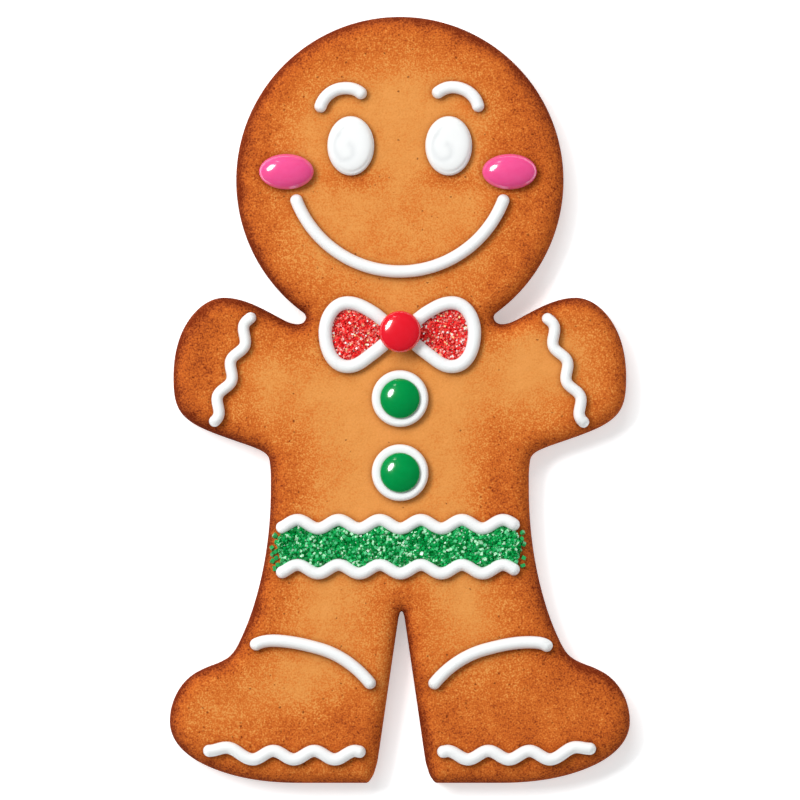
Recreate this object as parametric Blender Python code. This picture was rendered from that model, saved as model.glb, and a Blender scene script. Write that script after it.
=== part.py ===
"""A gingerbread man biscuit that lies face up, decorated with royal icing, coloured sugar and candies.

Sizes are in millimetres and meshes are made in metres. +X is the viewer's right, +Y runs towards the
head and +Z is up. The origin lies under the middle of the biscuit, on the surface that it rests on.
"""

import math

import bmesh
import bpy
import numpy as np
from mathutils import Euler, Vector
from mathutils.geometry import delaunay_2d_cdt

MM = 0.001
GAP = 0.3

# The biscuit: a flat slab with a well rounded upper edge and a slightly rounded lower one.
THICKNESS = 8.0
EDGE_REACH = 4.2
EDGE_DROP = 3.4
EDGE_RINGS = (0.35, 1.3, 4.2)
UNDERSIDE_ROUND = 1.0
TURN_STEP = 15.0
LENGTH_STEP = 9.0

# The head is a true circle.
HEAD_CENTRE = (0.0, 48.3)
HEAD_RADIUS = 36.05
NECK_ANGLE = -53.7
HEAD_STEPS = 36

# Points of the outline down the viewer's right, as x, y and the heading in degrees.
BODY_ANCHORS = (
    (20.68, 18.20, -88.0),
    (22.40, 16.72, 0.0),
    (27.60, 18.72, 28.0),
    (38.66, 22.54, 0.0),
    (46.15, 18.05, -53.5),
    (49.85, 4.95, -90.0),
    (47.70, -3.35, -132.5),
    (42.15, -6.83, -157.2),
    (36.00, -9.10, -161.0),
    (30.90, -11.00, -155.0),
    (28.75, -13.10, -101.0),
    (28.43, -19.50, -90.0),
    (32.08, -44.90, -73.0),
    (34.85, -52.20, -65.0),
    (36.95, -55.85, -49.0),
    (42.50, -58.80, -22.5),
    (46.92, -61.54, -45.0),
    (50.65, -70.75, -90.0),
    (42.50, -80.52, -155.5),
    (22.00, -84.30, 180.0),
)
# The slit between the legs has its own centre line, a little off the head's.
SLIT_CENTRE = 0.37
SLIT_ANCHORS = (
    (8.15, -84.30, 180.0),
    (6.89, -83.10, 126.0),
    (6.25, -81.70, 106.0),
    (5.54, -79.00, 98.5),
    (1.06, -48.60, 98.3),
)
SLIT_APEX = (SLIT_CENTRE, -46.70, 180.0)

# Piped icing is a round bead that sinks a little onto the biscuit.
BEAD_WIDTH = 2.72
BEAD_RISE = 1.9
BEAD_FOOT_ANGLE = -30.0
BEAD_SIDES = 6
BEAD_CAP_ANGLES = (35.0, 70.0)

# How far apart a line's sections are, by how tightly it bends, and how many sides a turned piece has.
BEAD_STEP = 1.05
SMILE_STEP = 1.6
BOOT_STEP = 1.8
LOOP_STEP = 1.3
SUGAR_EDGE_STEP = 1.6
EYE_SIDES = 24
CANDY_SIDES = 22
DISC_SIDES = 26

# Face.
SMILE_CENTRE = (0.0, 52.6)
SMILE_RADIUS = 24.35
SMILE_ANGLES = (-159.0, -21.0)
BROW_LEFT = ((-17.43, 64.55, 73.0), (-12.53, 68.50, 5.0), (-8.58, 67.45, -42.0))
BROW_RIGHT = ((8.40, 67.60, 37.0), (11.50, 68.75, 0.0), (17.20, 64.65, -76.0))
EYE_CENTRES = {"left": (-10.79, 55.87), "right": (10.74, 55.87)}
EYE_SIZE = (5.14, 6.52)
EYE_RISE = 2.1
CHEEK_CENTRES = {"left": (-24.92, 50.18), "right": (24.10, 50.18)}
CHEEK_SIZE = (6.01, 3.91)
CHEEK_RISE = 3.3

# Bow tie: two icing loops filled with red sugar, and a thick red lentil candy that hides their ends.
KNOT_CENTRE = (0.07, 15.0)
KNOT_RADIUS = 4.6
KNOT_MIDDLE = 2.6
KNOT_CROWN = 2.6
KNOT_BELLY = 2.4
LOOP_WIDTH = 2.92
LOOP_ANCHORS = (
    (-3.65, 17.50, 141.0),
    (-6.20, 19.40, 149.0),
    (-11.40, 21.35, 180.0),
    (-16.40, 14.80, -90.0),
    (-11.40, 7.35, 0.0),
    (-6.20, 10.05, 37.0),
    (-3.65, 12.10, 41.0),
)
BOW_SUGAR_RISE = 0.6

# Two round buttons, each a green candy pressed into a disc of icing.
BUTTON_CENTRES = {"upper": (0.04, 0.32), "lower": (0.05, -15.97)}
BUTTON_DISC_RADIUS = 6.23
BUTTON_DISC_RISE = 1.75
BUTTON_DISH_RADIUS = 4.85
BUTTON_DISH_FLOOR = 0.8
BUTTON_CANDY_RADIUS = 4.37
BUTTON_CANDY_RISE = 3.0

# Belt: two wavy lines with green sugar between them.
BELT_MIDLINES = {"upper": -27.32, "lower": -37.16}
BELT_ENDS = (-25.88, 25.02)
BELT_CREST_X = 4.63
WAVE_PERIOD = 9.03
WAVE_HEIGHT = 0.94
BELT_SUGAR_ENDS = (-26.92, 27.08)
BELT_SUGAR_OVERHANG = 0.4
BELT_SUGAR_RISE = 1.1

# Sleeves: a wavy line down each arm, by its start, tilt from the upright and length. The right one is
# the mirror image of a line on the left, with a start of its own.
SLEEVE_WIDTH = 2.5
SLEEVE_STARTS = {"left": (-32.74, 18.03), "right": (-32.80, 17.85)}
SLEEVE_MIRROR_X = -0.2
SLEEVE_TILT = 20.45
SLEEVE_LENGTH = 24.05
SLEEVE_PERIOD = 8.3
SLEEVE_WAVE_HEIGHT = 0.85
SLEEVE_PHASE = 5.0

# Boots: an arc of icing over each foot and a wavy line along each sole.
BOOT_LEFT = (
    (-31.60, -53.70, 28.0),
    (-26.45, -52.95, -4.0),
    (-17.65, -54.65, -16.0),
    (-6.60, -62.20, -51.0),
)
BOOT_RIGHT = (
    (7.60, -62.25, 51.0),
    (18.90, -54.80, 15.0),
    (29.75, -53.30, -4.0),
    (32.25, -54.00, -35.0),
)
HEM_OUTERS = {
    "left": ((-41.90, -77.10), (-38.10, -76.40)),
    "right": ((-41.10, -76.65), (-38.10, -76.30)),
}
HEM_FIRST_TROUGH_X = -32.3
HEM_HALF_PERIOD = 4.5
HEM_TURNS = 6
HEM_MIDLINE = -78.05
HEM_WAVE_HEIGHT = 0.93
HEM_END = (-8.85, -77.30)
HEM_MIRROR_X = 0.34

# Sanding sugar.
CRYSTAL_SIZE = 1.25
CRYSTAL_PITCH = 2.5
CRYSTAL_MARGIN = 1.0
BUMP_PITCH = 1.7
BUMP_HEIGHT = 0.35
SEED = 11

# Colour in linear RGB, roughness, and coat for the hard candies.
FINISHES = {
    "gingerbread": ((0.68, 0.27, 0.07), 0.85, 0.0),
    "royal_icing": ((0.92, 0.92, 0.90), 0.45, 0.0),
    "pink_candy": ((0.85, 0.08, 0.26), 0.15, 0.6),
    "red_candy": ((0.78, 0.012, 0.025), 0.10, 0.8),
    "green_candy": ((0.0, 0.33, 0.07), 0.10, 0.8),
    "green_sugar": ((0.04, 0.34, 0.11), 0.35, 0.0),
    "red_sugar": ((0.72, 0.07, 0.06), 0.35, 0.0),
}


def clear_scene():
    """Removes every object that the scene starts with."""
    for existing in list(bpy.data.objects):
        bpy.data.objects.remove(existing)


def finish(name):
    """The material of this name, made on its first use."""
    if name in bpy.data.materials:
        return bpy.data.materials[name]
    colour, roughness, coat = FINISHES[name]
    material = bpy.data.materials.new(name)
    material.use_nodes = True
    shader = material.node_tree.nodes["Principled BSDF"]
    shader.inputs["Base Color"].default_value = (*colour, 1.0)
    shader.inputs["Roughness"].default_value = roughness
    shader.inputs["Metallic"].default_value = 0.0
    shader.inputs["Coat Weight"].default_value = coat
    return material


def add_object(name, points, faces, material, centre=(0.0, 0.0, 0.0), smooth=True):
    """A closed mesh object from points in millimetres, placed at centre and with its faces turned out."""
    mesh = bpy.data.meshes.new(name)
    mesh.from_pydata([tuple(c * MM for c in point) for point in points], [], faces)
    sculpt = bmesh.new()
    sculpt.from_mesh(mesh)
    bmesh.ops.recalc_face_normals(sculpt, faces=sculpt.faces)
    bmesh.ops.triangulate(sculpt, faces=sculpt.faces)
    sculpt.to_mesh(mesh)
    sculpt.free()
    if smooth:
        mesh.shade_smooth()
        mesh.set_sharp_from_angle(angle=math.radians(50.0))
    made = bpy.data.objects.new(name, mesh)
    made.location = Vector(centre) * MM
    bpy.context.scene.collection.objects.link(made)
    mesh.materials.append(finish(material))
    return made


def stretch(start, end, steps):
    """Points from start up to but not including end, on a cubic curve that keeps both headings."""
    x0, y0, heading0 = start
    x1, y1, heading1 = end
    chord = math.hypot(x1 - x0, y1 - y0)
    turn = math.radians((heading1 - heading0 + 180.0) % 360.0 - 180.0)
    reach = chord / (3.0 * math.cos(turn / 4.0) ** 2)
    a0, a1 = math.radians(heading0), math.radians(heading1)
    controls = (
        (x0, y0),
        (x0 + reach * math.cos(a0), y0 + reach * math.sin(a0)),
        (x1 - reach * math.cos(a1), y1 - reach * math.sin(a1)),
        (x1, y1),
    )
    found = []
    for step in range(steps):
        t = step / steps
        weights = ((1 - t) ** 3, 3 * t * (1 - t) ** 2, 3 * t * t * (1 - t), t**3)
        found.append(tuple(sum(w * p[axis] for w, p in zip(weights, controls)) for axis in (0, 1)))
    return found


def stretch_steps(start, end):
    """How many steps a stretch of the outline takes, from its turn and its length."""
    turn = abs((end[2] - start[2] + 180.0) % 360.0 - 180.0)
    chord = math.hypot(end[0] - start[0], end[1] - start[1])
    return max(1, round(max(turn / TURN_STEP, chord / LENGTH_STEP)))


def mirrored(anchors, centre_x=0.0):
    """Anchors on the other side of a vertical line, walked in the opposite direction."""
    return tuple((2.0 * centre_x - x, y, -heading) for x, y, heading in reversed(anchors))


def circle_point(centre, radius, angle):
    """The point of a circle at an angle in degrees."""
    turn = math.radians(angle)
    return centre[0] + radius * math.cos(turn), centre[1] + radius * math.sin(turn)


def biscuit_outline():
    """The whole outline as an array of points, clockwise from the left of the neck over the head."""
    neck = (*circle_point(HEAD_CENTRE, HEAD_RADIUS, NECK_ANGLE), NECK_ANGLE - 90.0)
    right = (neck, *BODY_ANCHORS, *SLIT_ANCHORS)
    left = (*mirrored(SLIT_ANCHORS, SLIT_CENTRE), *mirrored((neck, *BODY_ANCHORS)))
    anchors = (*right, SLIT_APEX, *left)
    first, sweep = 180.0 - NECK_ANGLE, 180.0 - 2.0 * NECK_ANGLE
    angles = [first - sweep * step / HEAD_STEPS for step in range(HEAD_STEPS)]
    found = [circle_point(HEAD_CENTRE, HEAD_RADIUS, angle) for angle in angles]
    for start, end in zip(anchors, anchors[1:]):
        found += stretch(start, end, stretch_steps(start, end))
    return np.array(found)


def distance_to(points, loop):
    """The distance from each point to a closed loop of points."""
    starts, ends = loop, np.roll(loop, -1, axis=0)
    along = ends - starts
    offset = points[:, None, :] - starts[None, :, :]
    share = np.clip((offset * along).sum(-1) / (along * along).sum(-1), 0.0, 1.0)
    nearest = offset - share[..., None] * along
    return np.sqrt((nearest * nearest).sum(-1)).min(axis=1)


def inside(points, loop):
    """Which points lie inside a closed loop of points."""
    x, y = points[:, 0][:, None], points[:, 1][:, None]
    x0, y0 = loop[:, 0], loop[:, 1]
    x1, y1 = np.roll(x0, -1), np.roll(y0, -1)
    crosses = (y0 > y) != (y1 > y)
    rise = np.where(y1 == y0, 1.0, y1 - y0)
    left_of = x < x0 + (y - y0) * (x1 - x0) / rise
    return (crosses & left_of).sum(axis=1) % 2 == 1


def inward_normals(loop):
    """The unit normal at each point of a clockwise loop, pointing into it."""
    along = np.roll(loop, -1, axis=0) - np.roll(loop, 1, axis=0)
    along /= np.linalg.norm(along, axis=1)[:, None]
    return np.stack([along[:, 1], -along[:, 0]], axis=1)


def rounded_height(distance):
    """The height of the biscuit's upper face at a distance from its outline."""
    short = 1.0 - np.clip(np.asarray(distance) / EDGE_REACH, 0.0, 1.0)
    return THICKNESS - EDGE_DROP * (1.0 - np.sqrt(1.0 - short * short))


OUTLINE = biscuit_outline()


def biscuit_height(x, y):
    """The height of the biscuit's upper face over a point."""
    return float(rounded_height(distance_to(np.array([[x, y]]), OUTLINE))[0])


def filled(loop, points):
    """Triangles that fill a loop and use the points inside it, as indices into loop then points."""
    flat = [Vector(p) for p in np.vstack([loop, points])] if len(points) else [Vector(p) for p in loop]
    count = len(loop)
    border = [(i, (i + 1) % count) for i in range(count)]
    result = delaunay_2d_cdt(flat, border, [], 1, 1e-6)
    source = [origins[0] for origins in result[3]]
    return [tuple(source[i] for i in face) for face in result[2]]


def make_biscuit():
    """The slab, with its rounded edge sampled in rings and one flat face underneath."""
    normals = inward_normals(OUTLINE)
    rings = []
    for inset in EDGE_RINGS:
        ring = OUTLINE + normals * inset
        keep = inside(ring, OUTLINE) & (distance_to(ring, OUTLINE) > 0.97 * inset)
        rings.append(ring[keep])
    inner = np.vstack(rings)
    count = len(OUTLINE)
    faces = filled(OUTLINE, inner)
    points = [(x, y, THICKNESS - EDGE_DROP) for x, y in OUTLINE]
    heights = rounded_height(distance_to(inner, OUTLINE))
    points += [(x, y, z) for (x, y), z in zip(inner, heights)]
    upper = list(range(count))
    for inset, height in ((0.0, UNDERSIDE_ROUND), (0.7 * UNDERSIDE_ROUND, 0.0)):
        first = len(points)
        points += [(x, y, height) for x, y in OUTLINE + normals * inset]
        lower = list(range(first, first + count))
        for i in range(count):
            j = (i + 1) % count
            faces.append((upper[i], upper[j], lower[j], lower[i]))
        upper = lower
    faces.append(tuple(upper))
    return add_object("biscuit", points, faces, "gingerbread")


def bead_profile():
    """The bead's cross-section as (share of half width, share of rise), from one foot over to the other."""
    angles = np.radians(np.linspace(BEAD_FOOT_ANGLE, 180.0 - BEAD_FOOT_ANGLE, BEAD_SIDES + 1))
    foot = math.sin(math.radians(BEAD_FOOT_ANGLE))
    return [(math.cos(a), (math.sin(a) - foot) / (1.0 - foot)) for a in angles]


def respaced(path, step):
    """The same path with its points an even step apart, or slightly less."""
    path = np.array(path)
    lengths = np.concatenate([[0.0], np.cumsum(np.linalg.norm(np.diff(path, axis=0), axis=1))])
    count = max(2, math.ceil(lengths[-1] / step))
    at = np.linspace(0.0, lengths[-1], count + 1)
    return np.stack([np.interp(at, lengths, path[:, axis]) for axis in (0, 1)], axis=1)


def make_bead(name, path, width=BEAD_WIDTH, step=BEAD_STEP, ceiling=None):
    """A piped line of icing along a path, with rounded ends, that follows the biscuit under it.

    ceiling, where given, is the height that the bead stays under at a point.
    """
    path = respaced(path, step)
    along = np.gradient(path, axis=0)
    along /= np.linalg.norm(along, axis=1)[:, None]
    half = width / 2.0
    stations = [(point, heading, 1.0) for point, heading in zip(path, along)]
    for angle in BEAD_CAP_ANGLES:
        out = half * math.sin(math.radians(angle))
        size = math.cos(math.radians(angle))
        stations.insert(0, (path[0] - along[0] * out, along[0], size))
        stations.append((path[-1] + along[-1] * out, along[-1], size))
    profile = bead_profile()
    points = []
    for centre, heading, size in stations:
        across = np.array([heading[1], -heading[0]])
        for share, rise in profile:
            x, y = centre + across * share * half * size
            z = biscuit_height(x, y) + GAP + BEAD_RISE * rise * size
            points.append((x, y, min(z, ceiling(x, y)) if ceiling and rise > 0.0 else z))
    sides = len(profile)
    faces = []
    for station in range(len(stations) - 1):
        here, there = station * sides, (station + 1) * sides
        for side in range(sides):
            beside = (side + 1) % sides
            faces.append((here + side, here + beside, there + beside, there + side))
    last = (len(stations) - 1) * sides
    faces.append(tuple(range(sides)))
    faces.append(tuple(range(last, last + sides)))
    return add_object(name, points, faces, "royal_icing")


def curve(anchors, steps=8):
    """A path through anchors given as x, y and heading."""
    found = []
    for start, end in zip(anchors, anchors[1:]):
        found += stretch(start, end, steps)
    return [*found, anchors[-1][:2]]


def wave_between(extremes, steps=8):
    """A path through crests and troughs, with half a cosine wave between each two."""
    found = [extremes[0]]
    for (x0, y0), (x1, y1) in zip(extremes, extremes[1:]):
        for step in range(1, steps + 1):
            t = step / steps
            found.append((x0 + (x1 - x0) * t, y0 + (y1 - y0) * (1.0 - math.cos(math.pi * t)) / 2.0))
    return found


def belt_height(x, midline):
    """The y of a belt line's centre at x."""
    return midline + WAVE_HEIGHT * math.cos(2.0 * math.pi * (x - BELT_CREST_X) / WAVE_PERIOD)


def belt_path(midline):
    """The centre line of one of the belt's wavy lines."""
    return [(x, belt_height(x, midline)) for x in np.linspace(*BELT_ENDS, 90)]


def sleeve_path(side):
    """The centre line of a sleeve's wavy line as on the left sleeve, from the shoulder down."""
    tilt = math.radians(SLEEVE_TILT)
    down = np.array([-math.sin(tilt), -math.cos(tilt)])
    outwards = np.array([-math.cos(tilt), math.sin(tilt)])
    found = []
    for at in np.linspace(0.0, SLEEVE_LENGTH, 50):
        phase = 2.0 * math.pi * at / SLEEVE_PERIOD + math.radians(SLEEVE_PHASE)
        sway = SLEEVE_WAVE_HEIGHT * math.sin(phase)
        found.append(tuple(np.array(SLEEVE_STARTS[side]) + down * at + outwards * sway))
    return found


def hem_path(side):
    """The centre line of a boot's wavy line as on the left boot, from its outer end inwards."""
    extremes = list(HEM_OUTERS[side])
    for turn in range(HEM_TURNS):
        side = -1.0 if turn % 2 == 0 else 1.0
        extremes.append((HEM_FIRST_TROUGH_X + HEM_HALF_PERIOD * turn, HEM_MIDLINE + side * HEM_WAVE_HEIGHT))
    return wave_between([*extremes, HEM_END])


def flipped(path, centre_x=0.0):
    """A path mirrored about a vertical line."""
    return [(2.0 * centre_x - x, y) for x, y in path]


def make_turned(name, centre, profile, size, material, segments):
    """A round or oval piece: a profile of (share of radius, height) turned about the upright axis.

    The profile starts on the axis at the top and ends on it underneath.
    """
    points = [(0.0, 0.0, profile[0][1])]
    for share, height in profile[1:-1]:
        for step in range(segments):
            turn = 2.0 * math.pi * step / segments
            points.append((size[0] * share * math.cos(turn), size[1] * share * math.sin(turn), height))
    points.append((0.0, 0.0, profile[-1][1]))
    faces = []
    rings = len(profile) - 2
    for step in range(segments):
        beside = (step + 1) % segments
        faces.append((0, 1 + step, 1 + beside))
        for ring in range(rings - 1):
            upper, lower = 1 + ring * segments, 1 + (ring + 1) * segments
            faces.append((upper + step, lower + step, lower + beside, upper + beside))
        last = 1 + (rings - 1) * segments
        faces.append((last + step, len(points) - 1, last + beside))
    return add_object(name, points, faces, material, (centre[0], centre[1], THICKNESS + GAP))


def dome_profile(rise, tuck, steps):
    """A domed profile that is widest a little above its foot and tucks in under it."""
    widest = rise * 0.28
    found = [(0.0, rise)]
    for step in range(1, steps + 1):
        turn = math.radians(90.0 * step / steps)
        found.append((math.sin(turn), widest + (rise - widest) * math.cos(turn)))
    return [*found, (1.0 - tuck, 0.0), (0.0, 0.0)]


def disc_profile():
    """The button's icing: a rounded rim round a shallow dish that the candy lies in."""
    outer = BUTTON_DISC_RADIUS
    rim_middle = (BUTTON_DISH_RADIUS + outer) / 2.0 / outer
    rim_half = 1.0 - rim_middle
    found = [(0.0, BUTTON_DISH_FLOOR), (0.86 * BUTTON_DISH_RADIUS / outer, BUTTON_DISH_FLOOR)]
    for angle in (160.0, 120.0, 75.0, 35.0, 0.0):
        turn = math.radians(angle)
        rise = 0.35 * BUTTON_DISC_RISE + 0.65 * BUTTON_DISC_RISE * math.sin(turn)
        found.append((rim_middle + rim_half * math.cos(turn), rise))
    return [*found, (0.95, 0.0), (0.0, 0.0)]


def knot_profile():
    """The bow's candy: a lentil with a high crown and a belly that rests on the biscuit."""
    found = [(0.0, KNOT_MIDDLE + KNOT_CROWN)]
    for step in range(1, 9):
        turn = math.radians(18.0 * step)
        depth = KNOT_CROWN if step <= 5 else KNOT_BELLY
        found.append((math.sin(turn), KNOT_MIDDLE + depth * math.cos(turn)))
    return [*found, (0.0, found[-1][1])]


def under_knot(x, y):
    """The highest that icing reaches at a point, so that it stays clear of the candy over it."""
    reach = math.hypot(x - KNOT_CENTRE[0], y - KNOT_CENTRE[1]) / (KNOT_RADIUS + GAP)
    if reach >= 1.0:
        return THICKNESS + 2.0 * BEAD_RISE
    belly = KNOT_MIDDLE - (KNOT_BELLY + GAP) * math.sqrt(1.0 - reach * reach)
    return THICKNESS + GAP + max(belly, 0.25)


def crystal_mesh(collection, centre, draw):
    """Adds one sugar crystal, a small uneven block turned at random, to the collection."""
    size = [CRYSTAL_SIZE * draw.uniform(0.75, 1.15) / 2.0 for _ in range(3)]
    turned = Euler([draw.uniform(0.0, math.pi) for _ in range(3)]).to_matrix()
    mesh = bpy.data.meshes.new("crystal")
    sculpt = bmesh.new()
    bmesh.ops.create_cube(sculpt, size=2.0)
    for vertex in sculpt.verts:
        corner = Vector([c * s * draw.uniform(0.8, 1.0) for c, s in zip(vertex.co, size)])
        vertex.co = (turned @ corner + Vector(centre)) * MM
    bmesh.ops.triangulate(sculpt, faces=sculpt.faces)
    sculpt.to_mesh(mesh)
    sculpt.free()
    collection.objects.link(bpy.data.objects.new("crystal", mesh))


def make_sugar(name, loop, rise, material, seed):
    """A bed of sugar inside a loop, uneven on top, with its largest crystals fused on."""
    draw = np.random.default_rng(seed)
    low, high = loop.min(axis=0), loop.max(axis=0)
    columns = np.arange(low[0], high[0], BUMP_PITCH)
    rows = np.arange(low[1], high[1], BUMP_PITCH)
    grid = np.array([(x, y) for x in columns for y in rows])
    grid += draw.uniform(-0.25, 0.25, grid.shape) * BUMP_PITCH
    grid = grid[inside(grid, loop) & (distance_to(grid, loop) > 0.45 * BUMP_PITCH)]
    flat = np.vstack([loop, grid])
    faces = filled(loop, grid)
    ground = [biscuit_height(x, y) + GAP for x, y in flat]
    border = len(loop)
    depth = [0.45 * rise] * border + list(rise + draw.uniform(-1.0, 1.0, len(grid)) * BUMP_HEIGHT)
    points = [(x, y, z + d) for (x, y), z, d in zip(flat, ground, depth)]
    points += [(x, y, z) for (x, y), z in zip(flat, ground)]
    count = len(flat)
    under = [tuple(i + count for i in reversed(face)) for face in faces]
    walls = [(i, (i + 1) % border, (i + 1) % border + count, i + count) for i in range(border)]
    bed = add_object(name, points, faces + under + walls, material, smooth=False)

    crystals = bpy.data.collections.new(name + "_crystals")
    bpy.context.scene.collection.children.link(crystals)
    spots = [
        (x + CRYSTAL_PITCH / 2.0 * (row % 2), y)
        for row, y in enumerate(np.arange(low[1], high[1], CRYSTAL_PITCH * 0.87))
        for x in np.arange(low[0], high[0], CRYSTAL_PITCH)
    ]
    spots = np.array(spots) + draw.uniform(-0.2, 0.2, (len(spots), 2)) * CRYSTAL_PITCH
    spots = spots[inside(spots, loop) & (distance_to(spots, loop) > CRYSTAL_MARGIN)]
    for x, y in spots:
        crystal_mesh(crystals, (x, y, biscuit_height(x, y) + GAP + rise + 0.1 * CRYSTAL_SIZE), draw)
    union = bed.modifiers.new("crystals", "BOOLEAN")
    union.operation = "UNION"
    union.operand_type = "COLLECTION"
    union.collection = crystals
    union.solver = "EXACT"
    bpy.context.view_layer.objects.active = bed
    bpy.ops.object.modifier_apply(modifier=union.name)
    for crystal in list(crystals.objects):
        bpy.data.objects.remove(crystal)
    bpy.data.collections.remove(crystals)
    return bed


def belt_sugar_loop():
    """The edge of the green sugar: along both wavy lines, with bulging ends."""
    clear = BEAD_WIDTH / 2.0 + GAP
    left, right = BELT_ENDS[0] - BELT_SUGAR_OVERHANG, BELT_ENDS[1] + BELT_SUGAR_OVERHANG
    across = np.linspace(left, right, 38)
    upper = [(x, belt_height(x, BELT_MIDLINES["upper"]) - clear) for x in across]
    lower = [(x, belt_height(x, BELT_MIDLINES["lower"]) + clear) for x in reversed(across)]
    middle = (BELT_MIDLINES["upper"] + BELT_MIDLINES["lower"]) / 2.0
    bulge = ((0.5, 1.9), (0.0, 0.0), (0.6, -1.9))
    right_end = [(BELT_SUGAR_ENDS[1] - inset, middle + rise) for inset, rise in bulge]
    left_end = [(BELT_SUGAR_ENDS[0] + inset, middle - rise) for inset, rise in bulge]
    return np.array(upper + right_end + lower + left_end)


def bow_sugar_loop():
    """The edge of the left bow's red sugar: the loop's centre line drawn in, clear of the candy."""
    path = respaced(curve(LOOP_ANCHORS), SUGAR_EDGE_STEP)
    along = np.gradient(path, axis=0)
    along /= np.linalg.norm(along, axis=1)[:, None]
    clear = LOOP_WIDTH / 2.0 + GAP
    inner = path + np.stack([-along[:, 1], along[:, 0]], axis=1) * clear
    spans = np.linalg.norm(inner[:, None, :] - path[None, :, :], axis=2)
    away = np.linalg.norm(inner - np.array(KNOT_CENTRE), axis=1)
    inner = inner[(away > KNOT_RADIUS + GAP) & (spans.min(axis=1) > 0.97 * clear)]
    return inner[::-1]


def main():
    """Makes every piece and parents the decorations to the biscuit."""
    clear_scene()
    biscuit = make_biscuit()
    smile = [circle_point(SMILE_CENTRE, SMILE_RADIUS, a) for a in np.linspace(*SMILE_ANGLES, 60)]
    pieces = [
        make_bead("smile", smile, step=SMILE_STEP),
        make_bead("brow_left", curve(BROW_LEFT)),
        make_bead("brow_right", curve(BROW_RIGHT)),
        make_bead("boot_line_left", curve(BOOT_LEFT), step=BOOT_STEP),
        make_bead("boot_line_right", curve(BOOT_RIGHT), step=BOOT_STEP),
        make_bead("hem_line_left", hem_path("left")),
        make_bead("hem_line_right", flipped(hem_path("right"), HEM_MIRROR_X)),
        make_bead("sleeve_line_left", sleeve_path("left"), SLEEVE_WIDTH),
        make_bead("sleeve_line_right", flipped(sleeve_path("right"), SLEEVE_MIRROR_X), SLEEVE_WIDTH),
    ]
    for side, centre in EYE_CENTRES.items():
        profile = dome_profile(EYE_RISE, 0.05, 4)
        pieces.append(make_turned(f"eye_{side}", centre, profile, EYE_SIZE, "royal_icing", EYE_SIDES))
    for side, centre in CHEEK_CENTRES.items():
        profile = dome_profile(CHEEK_RISE, 0.08, 4)
        pieces.append(make_turned(f"cheek_{side}", centre, profile, CHEEK_SIZE, "pink_candy", CANDY_SIDES))
    for place, midline in BELT_MIDLINES.items():
        pieces.append(make_bead(f"belt_line_{place}", belt_path(midline)))
    pieces.append(make_sugar("belt_sugar", belt_sugar_loop(), BELT_SUGAR_RISE, "green_sugar", SEED))
    for side in ("left", "right"):
        path, loop = curve(LOOP_ANCHORS), bow_sugar_loop()
        if side == "right":
            path, loop = flipped(path), np.array(flipped(loop))[::-1]
        pieces.append(make_bead(f"bow_loop_{side}", path, LOOP_WIDTH, LOOP_STEP, ceiling=under_knot))
        pieces.append(make_sugar(f"bow_sugar_{side}", loop, BOW_SUGAR_RISE, "red_sugar", SEED + len(side)))
    knot_size = (KNOT_RADIUS, KNOT_RADIUS)
    knot = make_turned("bow_candy", KNOT_CENTRE, knot_profile(), knot_size, "red_candy", CANDY_SIDES)
    pieces.append(knot)
    disc_size = (BUTTON_DISC_RADIUS, BUTTON_DISC_RADIUS)
    candy_size = (BUTTON_CANDY_RADIUS, BUTTON_CANDY_RADIUS)
    for place, centre in BUTTON_CENTRES.items():
        name, profile = f"button_icing_{place}", disc_profile()
        disc = make_turned(name, centre, profile, disc_size, "royal_icing", DISC_SIDES)
        name, profile = f"button_candy_{place}", dome_profile(BUTTON_CANDY_RISE, 0.12, 5)
        candy = make_turned(name, centre, profile, candy_size, "green_candy", CANDY_SIDES)
        candy.location.z += (BUTTON_DISH_FLOOR + GAP) * MM
        pieces += [disc, candy]
    for piece in pieces:
        piece.parent = biscuit


main()
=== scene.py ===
"""Looks of a gingerbread man: baked crumb, piped royal icing, sugar-shell candies and sanding sugar.

Lengths are in millimetres and become metres where a mesh is made. +X is the viewer's right, +Y runs
towards the head and +Z is up, out of the decorated face.
"""

import logging
import math
from dataclasses import dataclass
from enum import Enum
from typing import Any, Callable, Optional, Sequence

import bpy
import numpy as np
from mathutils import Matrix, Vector, noise
from mathutils.geometry import delaunay_2d_cdt
from mathutils.kdtree import KDTree


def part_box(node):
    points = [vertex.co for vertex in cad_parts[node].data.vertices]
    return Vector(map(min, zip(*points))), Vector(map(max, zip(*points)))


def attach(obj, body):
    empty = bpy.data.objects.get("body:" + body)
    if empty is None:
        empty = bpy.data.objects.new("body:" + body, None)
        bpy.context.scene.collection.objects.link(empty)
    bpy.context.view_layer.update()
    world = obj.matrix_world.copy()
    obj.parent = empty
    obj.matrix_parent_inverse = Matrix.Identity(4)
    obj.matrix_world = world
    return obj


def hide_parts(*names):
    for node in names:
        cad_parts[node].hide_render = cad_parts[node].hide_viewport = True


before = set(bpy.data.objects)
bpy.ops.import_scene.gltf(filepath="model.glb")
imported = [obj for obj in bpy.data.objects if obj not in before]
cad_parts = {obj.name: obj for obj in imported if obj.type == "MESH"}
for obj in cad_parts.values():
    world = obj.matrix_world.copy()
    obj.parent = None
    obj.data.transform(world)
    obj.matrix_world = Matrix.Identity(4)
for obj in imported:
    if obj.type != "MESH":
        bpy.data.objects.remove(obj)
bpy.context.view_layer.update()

BODY = "root"
MM = 0.001
PER_MM = 1000.0
LOG = logging.getLogger("gingerbread")

# How near a point moved inwards may come to its line, as a share of the move, before the line has folded.
UNFOLDED = 0.985

# The kinds of shader node that the finishes use most.
MATH = "ShaderNodeMath"
VECTOR_MATH = "ShaderNodeVectorMath"
MIX = "ShaderNodeMix"
NOISE = "ShaderNodeTexNoise"
ATTRIBUTE = "ShaderNodeAttribute"
BUMP = "ShaderNodeBump"

Anchor = tuple[float, float, float]
Path = np.ndarray


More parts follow.
